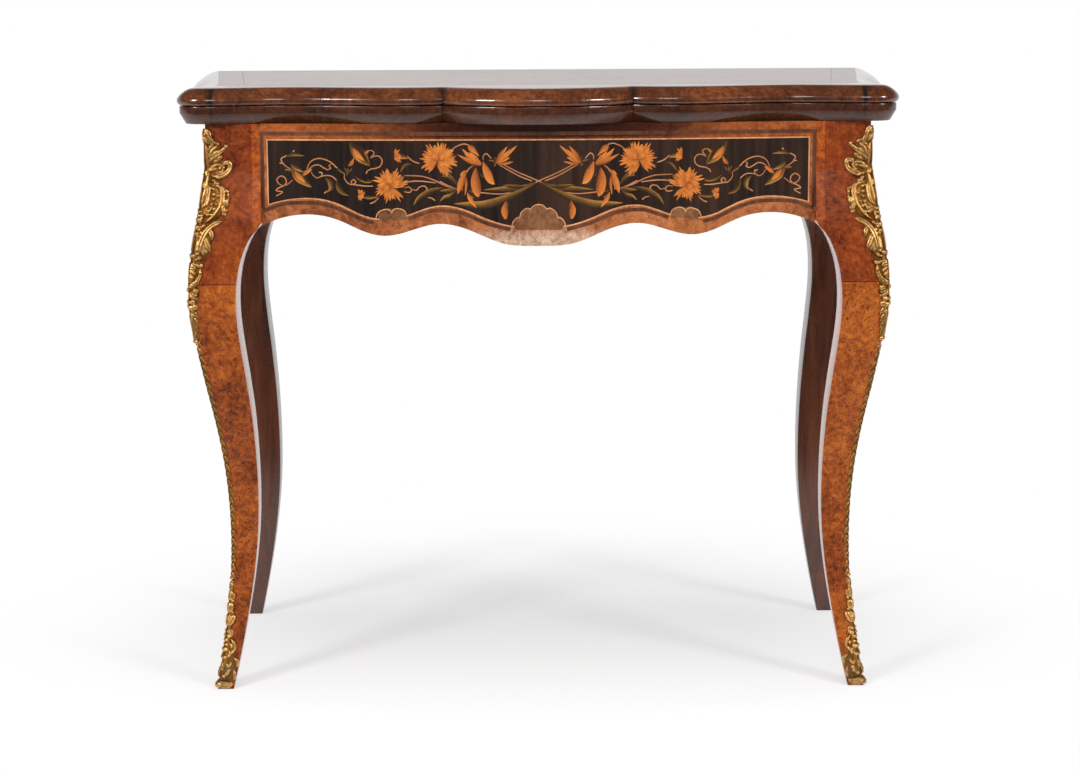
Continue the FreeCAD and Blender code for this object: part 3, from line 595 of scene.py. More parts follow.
# Each leaf or bud: its centre line in millimetres, then its width.
leaf_lift, blade_overlap, blade_tint, leaf_split = 0.12, 0.012, 0.1, 0.42
leaf_blades = [
    ([(313, 685), (306, 688), (300, 688), (289, 686)], 5.5),
    ([(264, 659), (258, 654), (257, 646), (262, 641)], 7.2),
    ([(250, 656), (248, 648), (243, 641), (235, 637)], 6.8), ([(250, 671), (245, 668), (240, 664)], 3.3),
    ([(305, 667), (310, 668), (315, 669)], 3.8), ([(238, 661), (237, 667), (236, 671)], 4.0),
    ([(237, 665), (239, 669), (240, 672)], 1.6), ([(236, 665), (233, 668), (231, 671)], 1.6),
    ([(156, 676), (164, 674), (171, 666)], 4.7), ([(116, 647), (132, 643), (147, 635), (155, 625)], 7.0),
    ([(227, 661), (221, 657), (213, 654), (205, 654)], 3.2), ([(212, 658), (208, 655), (205, 654)], 2.1),
    ([(52, 678), (56, 679), (62, 681)], 3.2), ([(53, 678), (53, 675), (54, 673)], 2.7),
    ([(54, 679), (54, 682), (54, 685)], 2.7), ([(3, 653), (20, 646), (42, 645), (68, 644)], 9.0),
    ([(3, 652), (34, 636), (65, 626), (87, 626), (105, 627)], 10.7),
    ([(16, 648), (29, 648), (44, 650)], 5.4), ([(40, 631), (38, 626), (39, 620)], 2.7),
    ([(87, 638), (83, 636), (80, 635)], 3.2), ([(88, 644), (83, 643), (78, 642)], 3.6),
    ([(100, 644), (110, 643), (122, 643)], 6.2), ([(102, 643), (109, 637), (116, 635), (122, 630)], 5.5),
    ([(100, 649), (107, 657), (115, 665), (119, 671)], 6.7), ([(107, 656), (112, 660), (120, 661)], 4.0),
    ([(110, 675), (112, 669), (110, 663)], 2.0), ([(72, 665), (70, 662), (68, 660)], 2.0),
    ([(307, 672), (299, 664), (292, 656), (281, 647)], 14.5), ([(307, 676), (300, 671), (291, 666)], 6.0),
    ([(233, 703), (225, 692), (218, 683), (208, 674)], 15.0),
    ([(231, 700), (221, 695), (213, 689), (208, 675)], 5.3), ([(181, 655), (174, 660), (166, 661)], 6.1),
    ([(179, 651), (173, 654), (167, 659)], 5.3), ([(222, 638), (211, 635), (197, 636)], 4.7),
    ([(177, 685), (169, 686), (161, 683)], 7.4)]
leaves = bmesh.new()
for number, (run, width) in enumerate(leaf_blades):
    lift = leaf_lift + blade_overlap * (number % 5)
    plate(leaves, run, width, leaf_outline, lift, blade_tint * (math.sin(number * 2.1) - 1), leaf_split)
inlaid(leaves, "marquetry_leaves", leaf_wood)

# Petals and orange buds, then the flower heads as fans: centre, radius, facing, spread, count, width.
petal_lift, head_lift, ring_lift, ring_turn, ring_fewer = 0.2, 0.05, 0.045, 9, 12
ring_shares = (1.0, 0.74, 0.48)
petal_blades = [
    ([(302, 667), (296, 660), (289, 653)], 6.4, leaf_outline),
    ([(292, 662), (286, 667), (280, 670)], 5.1, bud_outline),
    ([(304, 663), (301, 657), (295, 652)], 2.2, leaf_outline),
    ([(230, 693), (225, 684), (218, 678)], 2.2, leaf_outline),
    ([(235, 674), (231, 678), (228, 684)], 5.1, bud_outline),
    ([(229, 696), (223, 688), (215, 680)], 6.2, leaf_outline),
    ([(215, 689), (212, 691), (210, 694)], 3.4, bud_outline),
    ([(86, 699), (81, 694), (73, 686)], 7.6, bud_outline),
    ([(71, 675), (83, 683), (94, 695)], 6.7, leaf_outline),
    ([(71, 674), (84, 679), (100, 688)], 5.4, leaf_outline),
    ([(70, 676), (79, 684), (85, 691)], 5.4, leaf_outline),
    ([(71, 675), (76, 682), (77, 687)], 4.0, leaf_outline),
    ([(68, 679), (64, 667), (59, 656), (54, 651)], 10.3, leaf_outline),
    ([(77, 671), (78, 657), (76, 642), (74, 635)], 12.1, leaf_outline),
    ([(89, 669), (94, 657), (97, 648), (100, 639)], 8.5, leaf_outline),
    ([(90, 668), (94, 664), (97, 662)], 4.0, bud_outline),
    ([(89, 660), (89, 650), (91, 637)], 3.4, leaf_outline),
    ([(95, 657), (95, 650), (94, 643)], 3.2, bud_outline),
    ([(40, 631), (42, 620), (41, 608)], 8.5, bud_outline[::-1]),
    ([(88, 641), (84, 632), (77, 622)], 5.5, leaf_outline),
    ([(53, 677), (46, 688), (38, 698)], 5.5, leaf_outline),
    ([(52, 677), (40, 687), (26, 699)], 5.5, leaf_outline),
    ([(51, 677), (43, 681), (35, 684)], 4.6, leaf_outline),
    ([(51, 676), (40, 677), (31, 679)], 3.6, leaf_outline),
    ([(51, 677), (45, 684), (35, 694)], 4.0, leaf_outline)]
petals = bmesh.new()
for number, (run, width, outline) in enumerate(petal_blades):
    lift = petal_lift + blade_overlap * (number % 5)
    plate(petals, run, width, outline, lift, blade_tint * math.sin(number * 2.7))
flower_heads = [((123, 681), 24.0, 100, 300, 54, 3.2), ((183, 650), 22.0, 20, 310, 51, 3.1),
                ((178, 685), 10.5, 165, 130, 12, 2.3), ((223, 638), 9.0, 175, 170, 12, 2.1)]
for centre, radius, facing, spread, count, width in flower_heads:
    for ring, share in enumerate(ring_shares):
        teeth = count - ring_fewer * ring if count > ring_fewer else count
        lift = petal_lift + head_lift + ring_lift * ring
        fan(petals, centre, radius * share, facing + ring_turn * ring, spread, teeth, width, lift)
inlaid(petals, "marquetry_petals", petal_wood)

# Shell inlays: scallop shells of walnut, one at the middle and one on each side,
# standing on the crossband, every lobe edged by the boxwood string.
shell_wood = burr_walnut("shell_walnut", (0.095, 0.034, 0.013), (0.18, 0.072, 0.028),
                         (0.28, 0.13, 0.055), 0.25)
shell_lobes = [([(0, 596), (0, 610), (0, 625.4)], 20.0), ([(3, 597), (9, 609), (16, 620)], 15.0),
               ([(6, 596), (16, 603), (28, 608.5)], 11.5), ([(192, 605), (191, 612), (190.5, 619.6)], 17.0),
               ([(176, 608), (175, 614), (173.5, 620.4)], 18.0)]
lobe_outline = (0.5, 0.7, 0.9, 1.0, 0.98, 0.86, 0.45)
lobe_strings = [[(-10.5, 619.5), (-5.5, 624.6), (0, 625.8), (5.5, 624.6), (10.5, 619.5)],
                [(23.8, 609), (21.5, 616), (16, 620.6), (12.5, 621), (10.5, 619.5)],
                [(33.6, 598), (31.5, 604.5), (27, 609.3), (23.8, 609)],
                [(202.4, 607), (199, 616), (190.5, 620), (184.5, 619), (182, 615)],
                [(182, 615), (180, 619.5), (173.7, 621), (166, 618), (163, 611)]]
lobe_lift, lobe_overlap, lobe_tint = 0.08, 0.03, -0.05
lobe_string_width, lobe_string_lift = 1.3, 0.24
shells, strings = bmesh.new(), bmesh.new()
for number, (run, width) in enumerate(shell_lobes):
    lift = lobe_lift + lobe_overlap * (len(shell_lobes) - 1 - number)
    plate(shells, run, width, lobe_outline, lift, lobe_tint)
inlaid(shells, "shell_lobes", shell_wood, "burr_walnut")
front_veneer("shell_inlays", "shell_grounds", shell_wood, "burr_walnut")
for run in lobe_strings:
    plate(strings, run, lobe_string_width, stem_outline, lobe_string_lift)
inlaid(strings, "shell_strings", string_box)

# Dark feather band: a narrow dyed strip round the panel, a little way out from the string along the
# top and the ends and close under it along the scalloped edge, broken by the shells.
feather_dark = banding("feather_band", (0.05, 0.014, 0.005), (0.1, 0.03, 0.01), (0.17, 0.056, 0.018))
feather_width, feather_lift, feather_outline = 4.6, 0.05, (1.0, 1.0)
feather_runs = [
    [(0, 713.5), (115, 713.5), (230, 713.5), (344, 713.5)],
    [(342.6, 715), (342.6, 690), (342.6, 660), (342.6, 620)],
    [(343, 617.4), (337, 619.6), (318, 626), (300, 627.8), (273, 627.2), (248, 620.4), (222, 608.4),
     (204, 603)],
    [(161, 608.5), (145, 614), (128, 618.6), (98, 616), (66, 603.2), (48, 598), (35, 594.6)]]
feathers = bmesh.new()
for run in feather_runs:
    plate(feathers, run, feather_width, feather_outline, feather_lift)
inlaid(feathers, "feather_band", feather_dark, "walnut")


# Knee mounts: cast and gilt rococo mounts, chased by hand, wrapped round the outer arris of each
# front leg from the post to below the knee and held with small pins.
corner_ease = 2.5
chased_from, chase_depth, chase_width = 4.4, 0.5, 0.3
rib_rounds, rib_steps, plain_taper, end_fullness, pole_reach = 14, 7, (0.55, 1.0, 1.0, 0.5), 2.2, 1e-4


def wrap(across, height, proud):
    """A place round the right leg's arris: millimetres from the arris, up, and off the wood."""
    spot = (height * millimetre - leg_levels[0]) / (leg_levels[1] - leg_levels[0])
    spot = min(max(spot, 0.0), level_count - 1.001)
    low, high = front_sections[int(spot)], front_sections[int(spot) + 1]
    part = spot - int(spot)
    side_face = (low[1] + (high[1] - low[1]) * part) / millimetre
    front_face = (low[2] + (high[2] - low[2]) * part) / millimetre
    half_turn = corner_ease * math.pi / 4
    swing = min(max(across, -half_turn), half_turn) / corner_ease
    beyond = across - swing * corner_ease
    facing = Vector((math.sin(math.pi / 4 - swing), -math.sin(math.pi / 4 + swing)))
    place = Vector((side_face - corner_ease, front_face + corner_ease)) + facing * (corner_ease + proud)
    place = place + Vector((-max(beyond, 0.0), max(-beyond, 0.0)))
    return Vector((place.x, place.y, height)) * millimetre


def cast_rib(shape, run, widths, lift, rise, side):
    """One rounded rib, leaf or bead of a casting, laid along a curve on the leg."""
    rings = rib_steps * (len(run) - 1) + 4
    rib = bmesh.ops.create_uvsphere(shape, u_segments=rib_rounds, v_segments=rings, radius=1.0)
    widths = widths if len(widths) > 1 else [widths[0] * share for share in plain_taper]
    for corner in rib["verts"]:
        polar = math.acos(min(max(corner.co.z, -1.0), 1.0))
        ring = Vector((corner.co.x, corner.co.y))
        ring = ring.normalized() if ring.length > pole_reach else ring * 0.0
        share = polar / math.pi
        width = between(widths, share) * min(1.0, end_fullness * math.sin(polar))
        place, course = follow(run, share)
        place = place + Vector((-course.y, course.x)) * (ring.x * width / 2)
        chased = 1 - chase_depth * math.exp(-(ring.x / chase_width) ** 2) if width > chased_from else 1.0
        corner.co = wrap(side * place.x, place.y, lift + ring.y * width * rise / 2 * chased)


def cast_bead(shape, across, height, radius, lift, side):
    """One round bead of a casting, its middle off the wood by the lift."""
    bead = bmesh.ops.create_icosphere(shape, subdivisions=2, radius=radius)
    for corner in bead["verts"]:
        corner.co = wrap(side * (across + corner.co.x), height + corner.co.y, lift + corner.co.z)


def cast_mount(back, spine, ribs, beads, fullness=1.0):
    """Lays the spine, ribs and beads of a mount over its thin back, on both sides of the arris."""
    shape = bmesh.new()
    for side in (1, -1):
        for run, widths in back:
            cast_rib(shape, run, widths, back_lift, back_rise, side)
        cast_rib(shape, *spine, spine_lift, spine_rise, side)
        for run, widths in ribs:
            cast_rib(shape, run, [width * fullness for width in widths], rib_lift, rib_rise, side)
        for across, height, radius in beads:
            cast_bead(shape, across, height, radius, bead_lift, side)
    return shape


def cast_pair(shape, name, grain, material, nodes):
    """Fuses the ribs into one casting, notes its relief, and mirrors it for the left leg."""
    rough_mesh = bpy.data.meshes.new(name + "_rough")
    shape.to_mesh(rough_mesh)
    shape.free()
    rough = bpy.data.objects.new(name + "_rough", rough_mesh)
    scene.collection.objects.link(rough)
    fuse = rough.modifiers.new("fuse", "REMESH")
    fuse.mode = "VOXEL"
    fuse.voxel_size = grain * millimetre
    bpy.context.view_layer.update()
    fused = rough.evaluated_get(bpy.context.evaluated_depsgraph_get()).to_mesh()
    for side, node in zip((1, -1), nodes):
        casting = bmesh.new()
        casting.from_mesh(fused)
        bmesh.ops.smooth_vert(casting, verts=casting.verts[:], factor=0.5, use_axis_x=True, use_axis_y=True,
                              use_axis_z=True)
        relief = casting.verts.layers.float.new("relief")
        for corner in casting.verts:
            wood = wrap(0.0, corner.co.z / millimetre, 0.0)
            corner[relief] = max(corner.co.x - wood.x, wood.y - corner.co.y) / millimetre
        bmesh.ops.scale(casting, vec=(side, 1, 1), verts=casting.verts[:])
        finish_piece(casting, node + "_casting", material, "frame", "gilt_bronze", node, crease=180.0)
    bpy.data.objects.remove(rough)


def gilt_bronze(name, low, high, verdigris=0.0):
    """Worn gilding, patinated dark in the hollows and bright on what stands proud, with painted shade in its
    creases and painted highlights on its crests from the mesh's curvature.
    """
    material, start = new_finish(name)
    place = start.lay("TexCoord", output="Object")
    relief = start.lay("Attribute", {"attribute_name": "relief"}, None, "Fac")
    tarnish = place.lay("TexNoise", None, {"Vector": place, "Scale": 170.0, "Detail": 5.0})
    chasing = place.lay("TexNoise", None, {"Vector": place, "Scale": 900.0, "Detail": 2.0})
    # Pointiness paints shade into the creases and a highlight onto the crests of the casting.
    curvature_shade_and_highlight = start.lay("NewGeometry", output="Pointiness")
    bright = relief.ramp_up(low, high) * 0.6 + tarnish * 0.55 + (curvature_shade_and_highlight - 0.5) * 3.4 - 0.13
    stops = [(0.08, (0.012, 0.004, 0.001)), (0.36, (0.15, 0.055, 0.011)), (0.62, (0.46, 0.195, 0.042)),
             (0.94, (0.94, 0.6, 0.23))]
    colour = bright.lay("ValToRGB", {"stops": stops}, {"Fac": bright})
    if verdigris:
        height = place.lay("SeparateXYZ", None, {"Vector": place}, "Z")
        green = (1 - height.ramp_up(0.012, 0.06)) * tarnish.ramp_up(0.36, 0.62) * verdigris
        colour = green.over((0.1, 0.1, 0.062, 1.0), colour)
    roughness = 0.54 - bright * 0.24 + chasing * 0.12
    normal = start.lay("Bump", None, {"Height": chasing + tarnish, "Strength": 0.4, "Distance": 0.0003})
    gilding = {"Base Color": colour, "Roughness": roughness, "Normal": normal,
               "Metallic": bright.ramp_up(0.0, 0.4) * 0.5 + 0.5}
    start.lay("OutputMaterial", None, {"Surface": start.lay("BsdfPrincipled", None, gilding)})
    return material


# Ribs and leaves: points across from the arris and above the floor, then widths, in millimetres.
knee_back = [
    ([(0, 712), (1, 696), (2, 682), (2, 668)], (6, 9, 10, 8)),
    ([(2, 716), (5, 704), (8, 694), (10, 684), (10, 674), (12, 664), (9, 654), (12.5, 640), (15, 627),
     (14, 612), (11, 602)], (5, 12, 20, 23, 24, 27, 18, 30, 34, 34, 30)),
    ([(12, 607), (10, 596), (9, 583), (8, 571), (5, 560), (4.5, 549), (4, 537), (3, 526), (4, 516),
     (2.5, 505), (1.5, 495)], (34, 30, 27, 24, 19, 19, 18, 15, 16, 14, 9))]
knee_spine = ([(0, 717), (0, 680), (0, 640), (0, 600), (0, 560), (0, 525), (0, 492)],
              (5, 9, 10, 11, 11, 10, 6))
knee_ribs = [
    ([(-2, 721), (1, 713), (3, 706), (4, 700)], (2.5, 7.5, 6.5, 3.5)),
    ([(0, 702), (1.5, 690), (2.5, 678), (3, 667)], (2.8,)), ([(3, 690), (7, 698), (11, 703)], (3.4,)),
    ([(3.5, 684), (9, 693), (14, 697)], (3.2,)), ([(0, 720), (4, 714), (7, 704)], (5.5,)),
    ([(4, 712), (8, 703), (9, 694)], (4.5,)), ([(4, 680), (7.5, 691), (16, 700)], (4,)),
    ([(3.5, 676), (10, 687), (17.5, 694)], (4,)), ([(5.5, 676), (14.5, 687), (22, 694), (27, 698)], (4,)),
    ([(8, 676), (16.5, 683), (21.5, 685)], (4,)), ([(7, 703), (13, 702), (18.5, 699)], (3.6,)),
    ([(10.5, 661), (16, 661), (23, 663), (28.5, 668), (30, 674), (27.5, 678), (22.5, 676), (20.5, 672)],
     (6.2, 6.7, 6.2, 5.8, 5.4, 4.5, 3.6)),
    ([(3.5, 665), (6, 669), (11.5, 674), (17, 675), (21.5, 672), (20.5, 667), (16.5, 666)],
     (4.5, 4, 3.6, 3.1, 2.7)), ([(5, 666), (9.5, 669), (15, 671)], (3.1,)),
    ([(-3, 668), (1, 665), (2.5, 662)], (2.7,)),
    ([(-2, 656), (2, 649), (6.5, 646), (7.5, 636), (6.5, 628), (0.5, 621)], (3.6, 4.9, 5.4, 4.9, 4)),
    ([(0.5, 648), (5, 644), (6, 635), (3.5, 626)], (3.1,)),
    ([(-3.5, 671), (-3.5, 658), (-3, 645), (-2, 634), (-1.5, 621)], (3.6,)),
    ([(11, 650), (17.5, 649), (22.5, 644), (24, 636), (24.5, 627), (21.5, 619), (15, 610), (7, 603)],
     (3.1, 3.3, 3.3, 3)), ([(19, 651), (25, 645), (27.5, 637), (27, 627), (23.5, 617)], (2.7, 2.9, 2.6)),
    ([(25, 646), (30, 643), (32.5, 638), (33, 631)], (2.8,)),
    ([(8.5, 648), (11.5, 646), (15, 643)], (2.7,)), ([(28, 632), (31, 628), (31.5, 622)], (6.2,)),
    ([(27, 626), (29, 621), (28.5, 616)], (4.5,)),
    ([(31, 606), (24, 604), (17, 600), (11, 592), (8, 581), (7, 571), (9, 564)],
     (4, 6.2, 6.4, 7.2, 7.2, 6.4, 5)), ([(14, 597), (19, 590), (21, 582)], (5.3,)),
    ([(10.5, 588), (15.5, 578), (22, 567)], (5.7,)), ([(9, 583), (13.5, 573), (18, 566)], (4.3,)),
    ([(8, 578), (11, 570), (14.5, 564)], (4.3,)), ([(6, 587), (4, 580), (4, 570), (6, 564)], (3.8,)),
    ([(5, 555), (9, 551), (13, 551), (11.5, 554)], (3.8,)), ([(-2, 551), (2, 549), (6.5, 546)], (4.8,)),
    ([(-2.5, 548), (2, 543), (6.5, 539)], (3.8,)), ([(-2, 543), (1, 537), (4, 534)], (3.8,)),
    ([(-2.5, 537), (-1, 533), (0, 530)], (3.4,)), ([(-0.5, 553), (3.5, 552), (5.5, 549)], (4.8,)),
    ([(11.5, 549), (12, 540), (8.5, 532), (0, 526), (-2.5, 526)], (3.4, 4.3, 4.3, 3.4)),
    ([(11.5, 531), (7, 527), (1, 523)], (2.9,)), ([(-1, 519), (1, 513), (5.5, 510), (10.5, 510)], (3.4,)),
    ([(2, 518), (5, 514), (9.5, 515)], (2.9,)),
    ([(-1, 495), (0.5, 484), (1, 473), (1, 463), (0.5, 452)], (6.0, 5.4, 4.5, 3.8, 3.0)),
    ([(0, 497), (4.5, 492), (7.0, 485)], (3.8,)), ([(0, 488), (3.6, 483), (5.8, 476)], (3.6,)),
    ([(0, 480), (3.2, 474), (4.8, 467)], (3.2,)), ([(0, 470), (2.6, 465), (3.6, 458)], (2.8,))]
knee_beads = [
    (25.5, 698, 2.7), (17.5, 671, 2.2), (10.5, 661, 2), (11.5, 656, 2.3), (14, 653, 2.3),
    (17.5, 652, 2.1), (-2.5, 663, 2), (31.5, 642, 2.1), (32, 638, 1.8), (33, 632, 2), (32, 619, 2.7),
    (29.5, 615, 2.1), (32, 614, 2.1), (14, 639, 2.3), (15, 633, 2.1), (20.5, 637, 2), (13.5, 627, 2.3),
    (19, 627, 2.3), (14, 622, 2.1), (17.5, 621, 2.3), (11, 619, 3), (14.5, 614, 2.1), (10, 614, 2.3),
    (7, 616, 2), (-0.5, 618, 2), (0, 613, 2.3), (0, 608, 2.9), (-3, 613, 2), (3.5, 610, 1.8),
    (-2.5, 606, 2.1), (2, 599, 2.1), (-1, 598, 2.1), (7.5, 601, 2.1), (0.5, 599, 2.5), (-5, 599, 2.3),
    (3, 596, 2.1), (-6, 592, 2.3), (0.5, 591, 2.3), (-6, 587, 2.1), (-3, 588, 2.1), (-5.5, 578, 2.1),
    (-5.5, 583, 1.7), (-6.5, 572, 1.7), (-6, 566, 1.9), (-5.5, 559, 1.5), (-5, 552, 1.7), (1.5, 564, 2.9),
    (8.5, 561, 2.9), (12.5, 552, 2.7), (7, 520, 4), (-3, 506, 3.6), (-0.5, 499, 3.4), (5.5, 500, 4.2),
    (-3, 495, 2.1), (2.5, 505, 2.5), (2.5, 489, 1.9), (1, 455, 2.9)]
back_lift, back_rise, spine_lift, spine_rise = 0.5, 0.09, 0.9, 0.16
rib_lift, rib_rise, rib_fullness, bead_lift = 1.3, 0.85, 1.12, 1.4
cast_grain = 0.6
knee = cast_mount(knee_back, knee_spine, knee_ribs, knee_beads, rib_fullness)
knee_gilding = gilt_bronze("knee_gilding", 0.0, 3.8)
cast_pair(knee, "knee_mount", cast_grain, knee_gilding, ("right_knee_mount", "left_knee_mount"))

# Edge fillets: thin gilt beading bent down the arris of each front leg, between knee mount and
# sabot, a flat strip with husks to both sides and a bead between each two.
fillet_gilding = gilt_bronze("fillet_gilding", 0.2, 2.6)
fillet_top, fillet_length, husk_pitch = 458, 332, 11.0
strip_across, strip_steps, strip_widths, strip_lift, strip_rise = 1.6, 8, (7.2, 6.4, 5.6), 0.5, 0.2
husk_reach, reach_loss, husk_width, husk_lift, husk_rise = 5.2, 1.4, 2.2, 0.9, 0.55
husk_root, husk_waist, waist_drop, husk_drop = 0.2, 0.6, 3.5, 9
bead_across, bead_drop, bead_radius, small_bead_lift = 0.4, 7, 1.2, 0.6
fillet_grain = 0.55
strip = [(strip_across, fillet_top - fillet_length * step / strip_steps) for step in range(strip_steps + 1)]
fillet = bmesh.new()
for side in (1, -1):
    cast_rib(fillet, strip, strip_widths, strip_lift, strip_rise, side)
    for number in range(int(fillet_length / husk_pitch)):
        level = fillet_top - husk_pitch * number
        reach = husk_reach - reach_loss * number * husk_pitch / fillet_length
        husk = [(husk_root, level), (reach * husk_waist, level - waist_drop), (reach, level - husk_drop)]
        cast_rib(fillet, husk, (husk_width,), husk_lift, husk_rise, side)
        cast_bead(fillet, bead_across, level - bead_drop, bead_radius, small_bead_lift, side)
cast_pair(fillet, "edge_fillet", fillet_grain, fillet_gilding, ("right_edge_fillet", "left_edge_fillet"))

# Sabots: cast gilt shoes of husks, scrolls and rockwork, wrapped round the toes of the front
# legs like the knee mounts, and greened by damp near the floor.
sabot_gilding = gilt_bronze("sabot_gilding", 0.2, 3.2, 0.7)
sabot_back = [([(0, 137), (1, 113), (2, 96), (0, 80), (1.5, 62), (4.5, 45), (8, 28), (9, 16), (9, 6)],
               (3, 6, 8, 8, 13, 17, 20, 21, 21))]
sabot_spine = ([(0, 140), (0.5, 116), (0.5, 92), (0.5, 68), (0.5, 40), (0.5, 12)], (4, 6.5, 8, 9, 11, 12))
sabot_ribs = [
    ([(-0.5, 138), (0, 131), (1, 126)], (4.5,)), ([(4, 124), (3.5, 118), (1, 113)], (4.5,)),
    ([(-1, 127), (0, 119), (1, 113)], (5.6,)), ([(0, 111), (1.5, 105), (0, 97)], (7.8,)),
    ([(7, 96), (5, 89), (0, 80)], (7.8,)), ([(-1.5, 96), (-0.5, 87), (-0.5, 80)], (5.6,)),
    ([(-0.5, 76), (-5.5, 74), (-5.5, 68), (0, 64)], (4,)),
    ([(5.5, 64), (11, 58), (12.5, 51), (8.5, 46), (4.5, 49)], (4, 4, 3.6, 3.2)),
    ([(5.5, 58), (7.5, 55), (8.5, 52)], (3.3,)), ([(0, 35), (0, 28), (-1, 23)], (3.8,)),
    ([(13, 40), (19, 35), (19, 27)], (4.5,)), ([(5, 33), (8, 29), (11.5, 34)], (3.8,)),
    ([(16, 25), (18, 17), (18, 11)], (4.5,)), ([(-3, 7), (3, 8), (11, 7), (17, 8)], (7.4, 7.4, 6.5, 5)),
    ([(1, 4), (8, 3.4), (14, 4.5), (18, 10)], (5, 5, 4.5, 4))]
sabot_beads = [
    (-1, 142, 1.6), (-3.5, 113, 1.8), (-4.5, 98, 1.6), (3, 74, 2.5), (3.5, 68, 2.9), (-1, 63, 2.5),
    (-2, 57, 2), (2, 51, 3.3), (6.5, 43, 2.7), (-2, 41, 2.9), (9, 24, 3.3), (7.5, 20, 3.8),
    (4.5, 17, 2.9), (0, 6.5, 4.6)]
sabot = cast_mount(sabot_back, sabot_spine, sabot_ribs, sabot_beads)
cast_pair(sabot, "sabot", cast_grain, sabot_gilding, ("right_sabot", "left_sabot"))
dress("mount_pins", knee_gilding)


# Leaf mouldings: shaped lengths of cross-grained walnut glued round the front and sides of each leaf,
# meeting at dark seams; the upper ones are rounded over, the lower ones chamfered below.
def joint_zones(*joints):
    """Dark zones across glued joints: place, half width, softness and tint of each."""
    zones = []
    for joint, wide, soft, tint in joints:
        limits = [("X", joint - wide - soft, joint - wide), ("X", joint + wide + soft, joint + wide)]
        zones.append((tint, limits + [clear_of_middle]))
    return zones


clear_of_middle = ("Y", 0.1, 0.13)
inner_joint, outer_joint, joint_dark = 0.1175, 0.4025, (0.35, 0.35, 0.4)
upper_joints = joint_zones((inner_joint, 0.001, 0.008, (0.4, 0.4, 0.45)),
                           (inner_joint, 0.0004, 0.0008, (0.4, 0.4, 0.4)),
                           (outer_joint, 0.0022, 0.0006, (0.22, 0.28, 0.5)),
                           (outer_joint, 0.003, 0.006, (0.75, 0.72, 0.75)))
lower_joints = joint_zones((inner_joint, 0.0005, 0.0008, joint_dark),
                           (outer_joint, 0.0005, 0.0008, joint_dark))
upper_edge_walnut = burr_walnut("upper_edge_walnut", (0.034, 0.007, 0.0016), (0.085, 0.019, 0.0032),
                                (0.2, 0.052, 0.0075), 0.0, upper_joints, coat=0.9)
lower_edge_walnut = burr_walnut("lower_edge_walnut", (0.026, 0.0065, 0.002), (0.052, 0.013, 0.0036),
                                (0.1, 0.027, 0.006), 0.0, lower_joints)
board_seams = (0.118, 0.406)
waist_seam = -0.095
rear_half_width, flare_from = 0.4647, 0.02
path_pitch = 0.003
cusp_turn = 0.4
square_on, seam_reach = 0.999, 1e-4


def edge_line(node, level):
    """The shaped edge of a leaf at a level, from its back right corner round to its back left."""
    shape = merged_copy(node)
    everything = shape.verts[:] + shape.edges[:] + shape.faces[:]
    cut = bmesh.ops.bisect_plane(shape, geom=everything, plane_co=(0, 0, level), plane_no=(0, 0, 1))
    beside = {}
    for edge in [part for part in cut["geom_cut"] if isinstance(part, bmesh.types.BMEdge)]:
        facing, middle = edge.link_faces[0].normal, (edge.verts[0].co + edge.verts[1].co) / 2
        from_seam = min(abs(abs(middle.x) - seam) for seam in board_seams)
        glued = abs(facing.x) > square_on and from_seam < seam_reach or facing.y > square_on
        glued = glued or facing.y < -square_on and abs(middle.y - waist_seam) < seam_reach
        if not glued and facing.x * middle.x + facing.y * middle.y > 0:
            for corner in edge.verts:
                beside.setdefault(corner, []).append(edge.other_vert(corner))
    spot = max(beside, key=lambda corner: corner.co.x + corner.co.y)
    line, passed = [], set()
    while spot:
        passed.add(spot)
        if not line or (spot.co.to_2d() - line[-1]).length > path_pitch / 2:
            line.append(spot.co.to_2d())
        spot = next((onward for onward in beside[spot] if onward not in passed), None)
    shape.free()
    narrowing = 1 - rear_half_width / line[0].x
    for spot in line:
        share = max((spot.y - flare_from) / (line[0].y - flare_from), 0.0)
        spot.x *= 1 - narrowing * share * share * (3 - 2 * share)
    return line


def edge_path(line):
    """Even steps along the edge, each with its way inwards, mitred where two curves meet in a cusp."""
    runs = [[line[0]]]
    for before, spot, after in zip(line, line[1:], line[2:]):
        runs[-1].append(spot)
        if abs((spot - before).angle_signed(after - spot)) > cusp_turn:
            runs.append([spot])
    runs[-1].append(line[-1])
    path, leaving = [], None
    for run in runs:
        steps = [far - near for near, far in zip(run, run[1:])]
        courses = [(step / step.length * onward.length + onward / onward.length * step.length).normalized()
                   for step, onward in zip(steps, steps[1:])]
        courses.insert(0, -courses[0].reflect(steps[0].normalized()))
        courses.append(-courses[-1].reflect(steps[-1].normalized()))
        for near, step, course, onward in zip(run, steps, courses, courses[1:]):
            count = max(round(step.length / path_pitch), 1)
            for part in [number / count for number in range(count)]:
                pull, push = course * step.length, onward * step.length
                bend, twist = step * 3 - pull * 2 - push, pull + push - step * 2
                place = near + pull * part + bend * part ** 2 + twist * part ** 3
                way = pull + bend * (2 * part) + twist * (3 * part ** 2)
                inward = Vector((way.y, -way.x)).normalized()
                if leaving and not part:
                    inward = (inward + leaving) / (1 + inward.dot(leaving))
                leaving = None
                path.append((place, inward))
        leaving = Vector((courses[-1].y, -courses[-1].x))
    path.append((line[-1], Vector((1.0, 0.0))))
    path[0] = (line[0], Vector((-1.0, 0.0)))
    return path


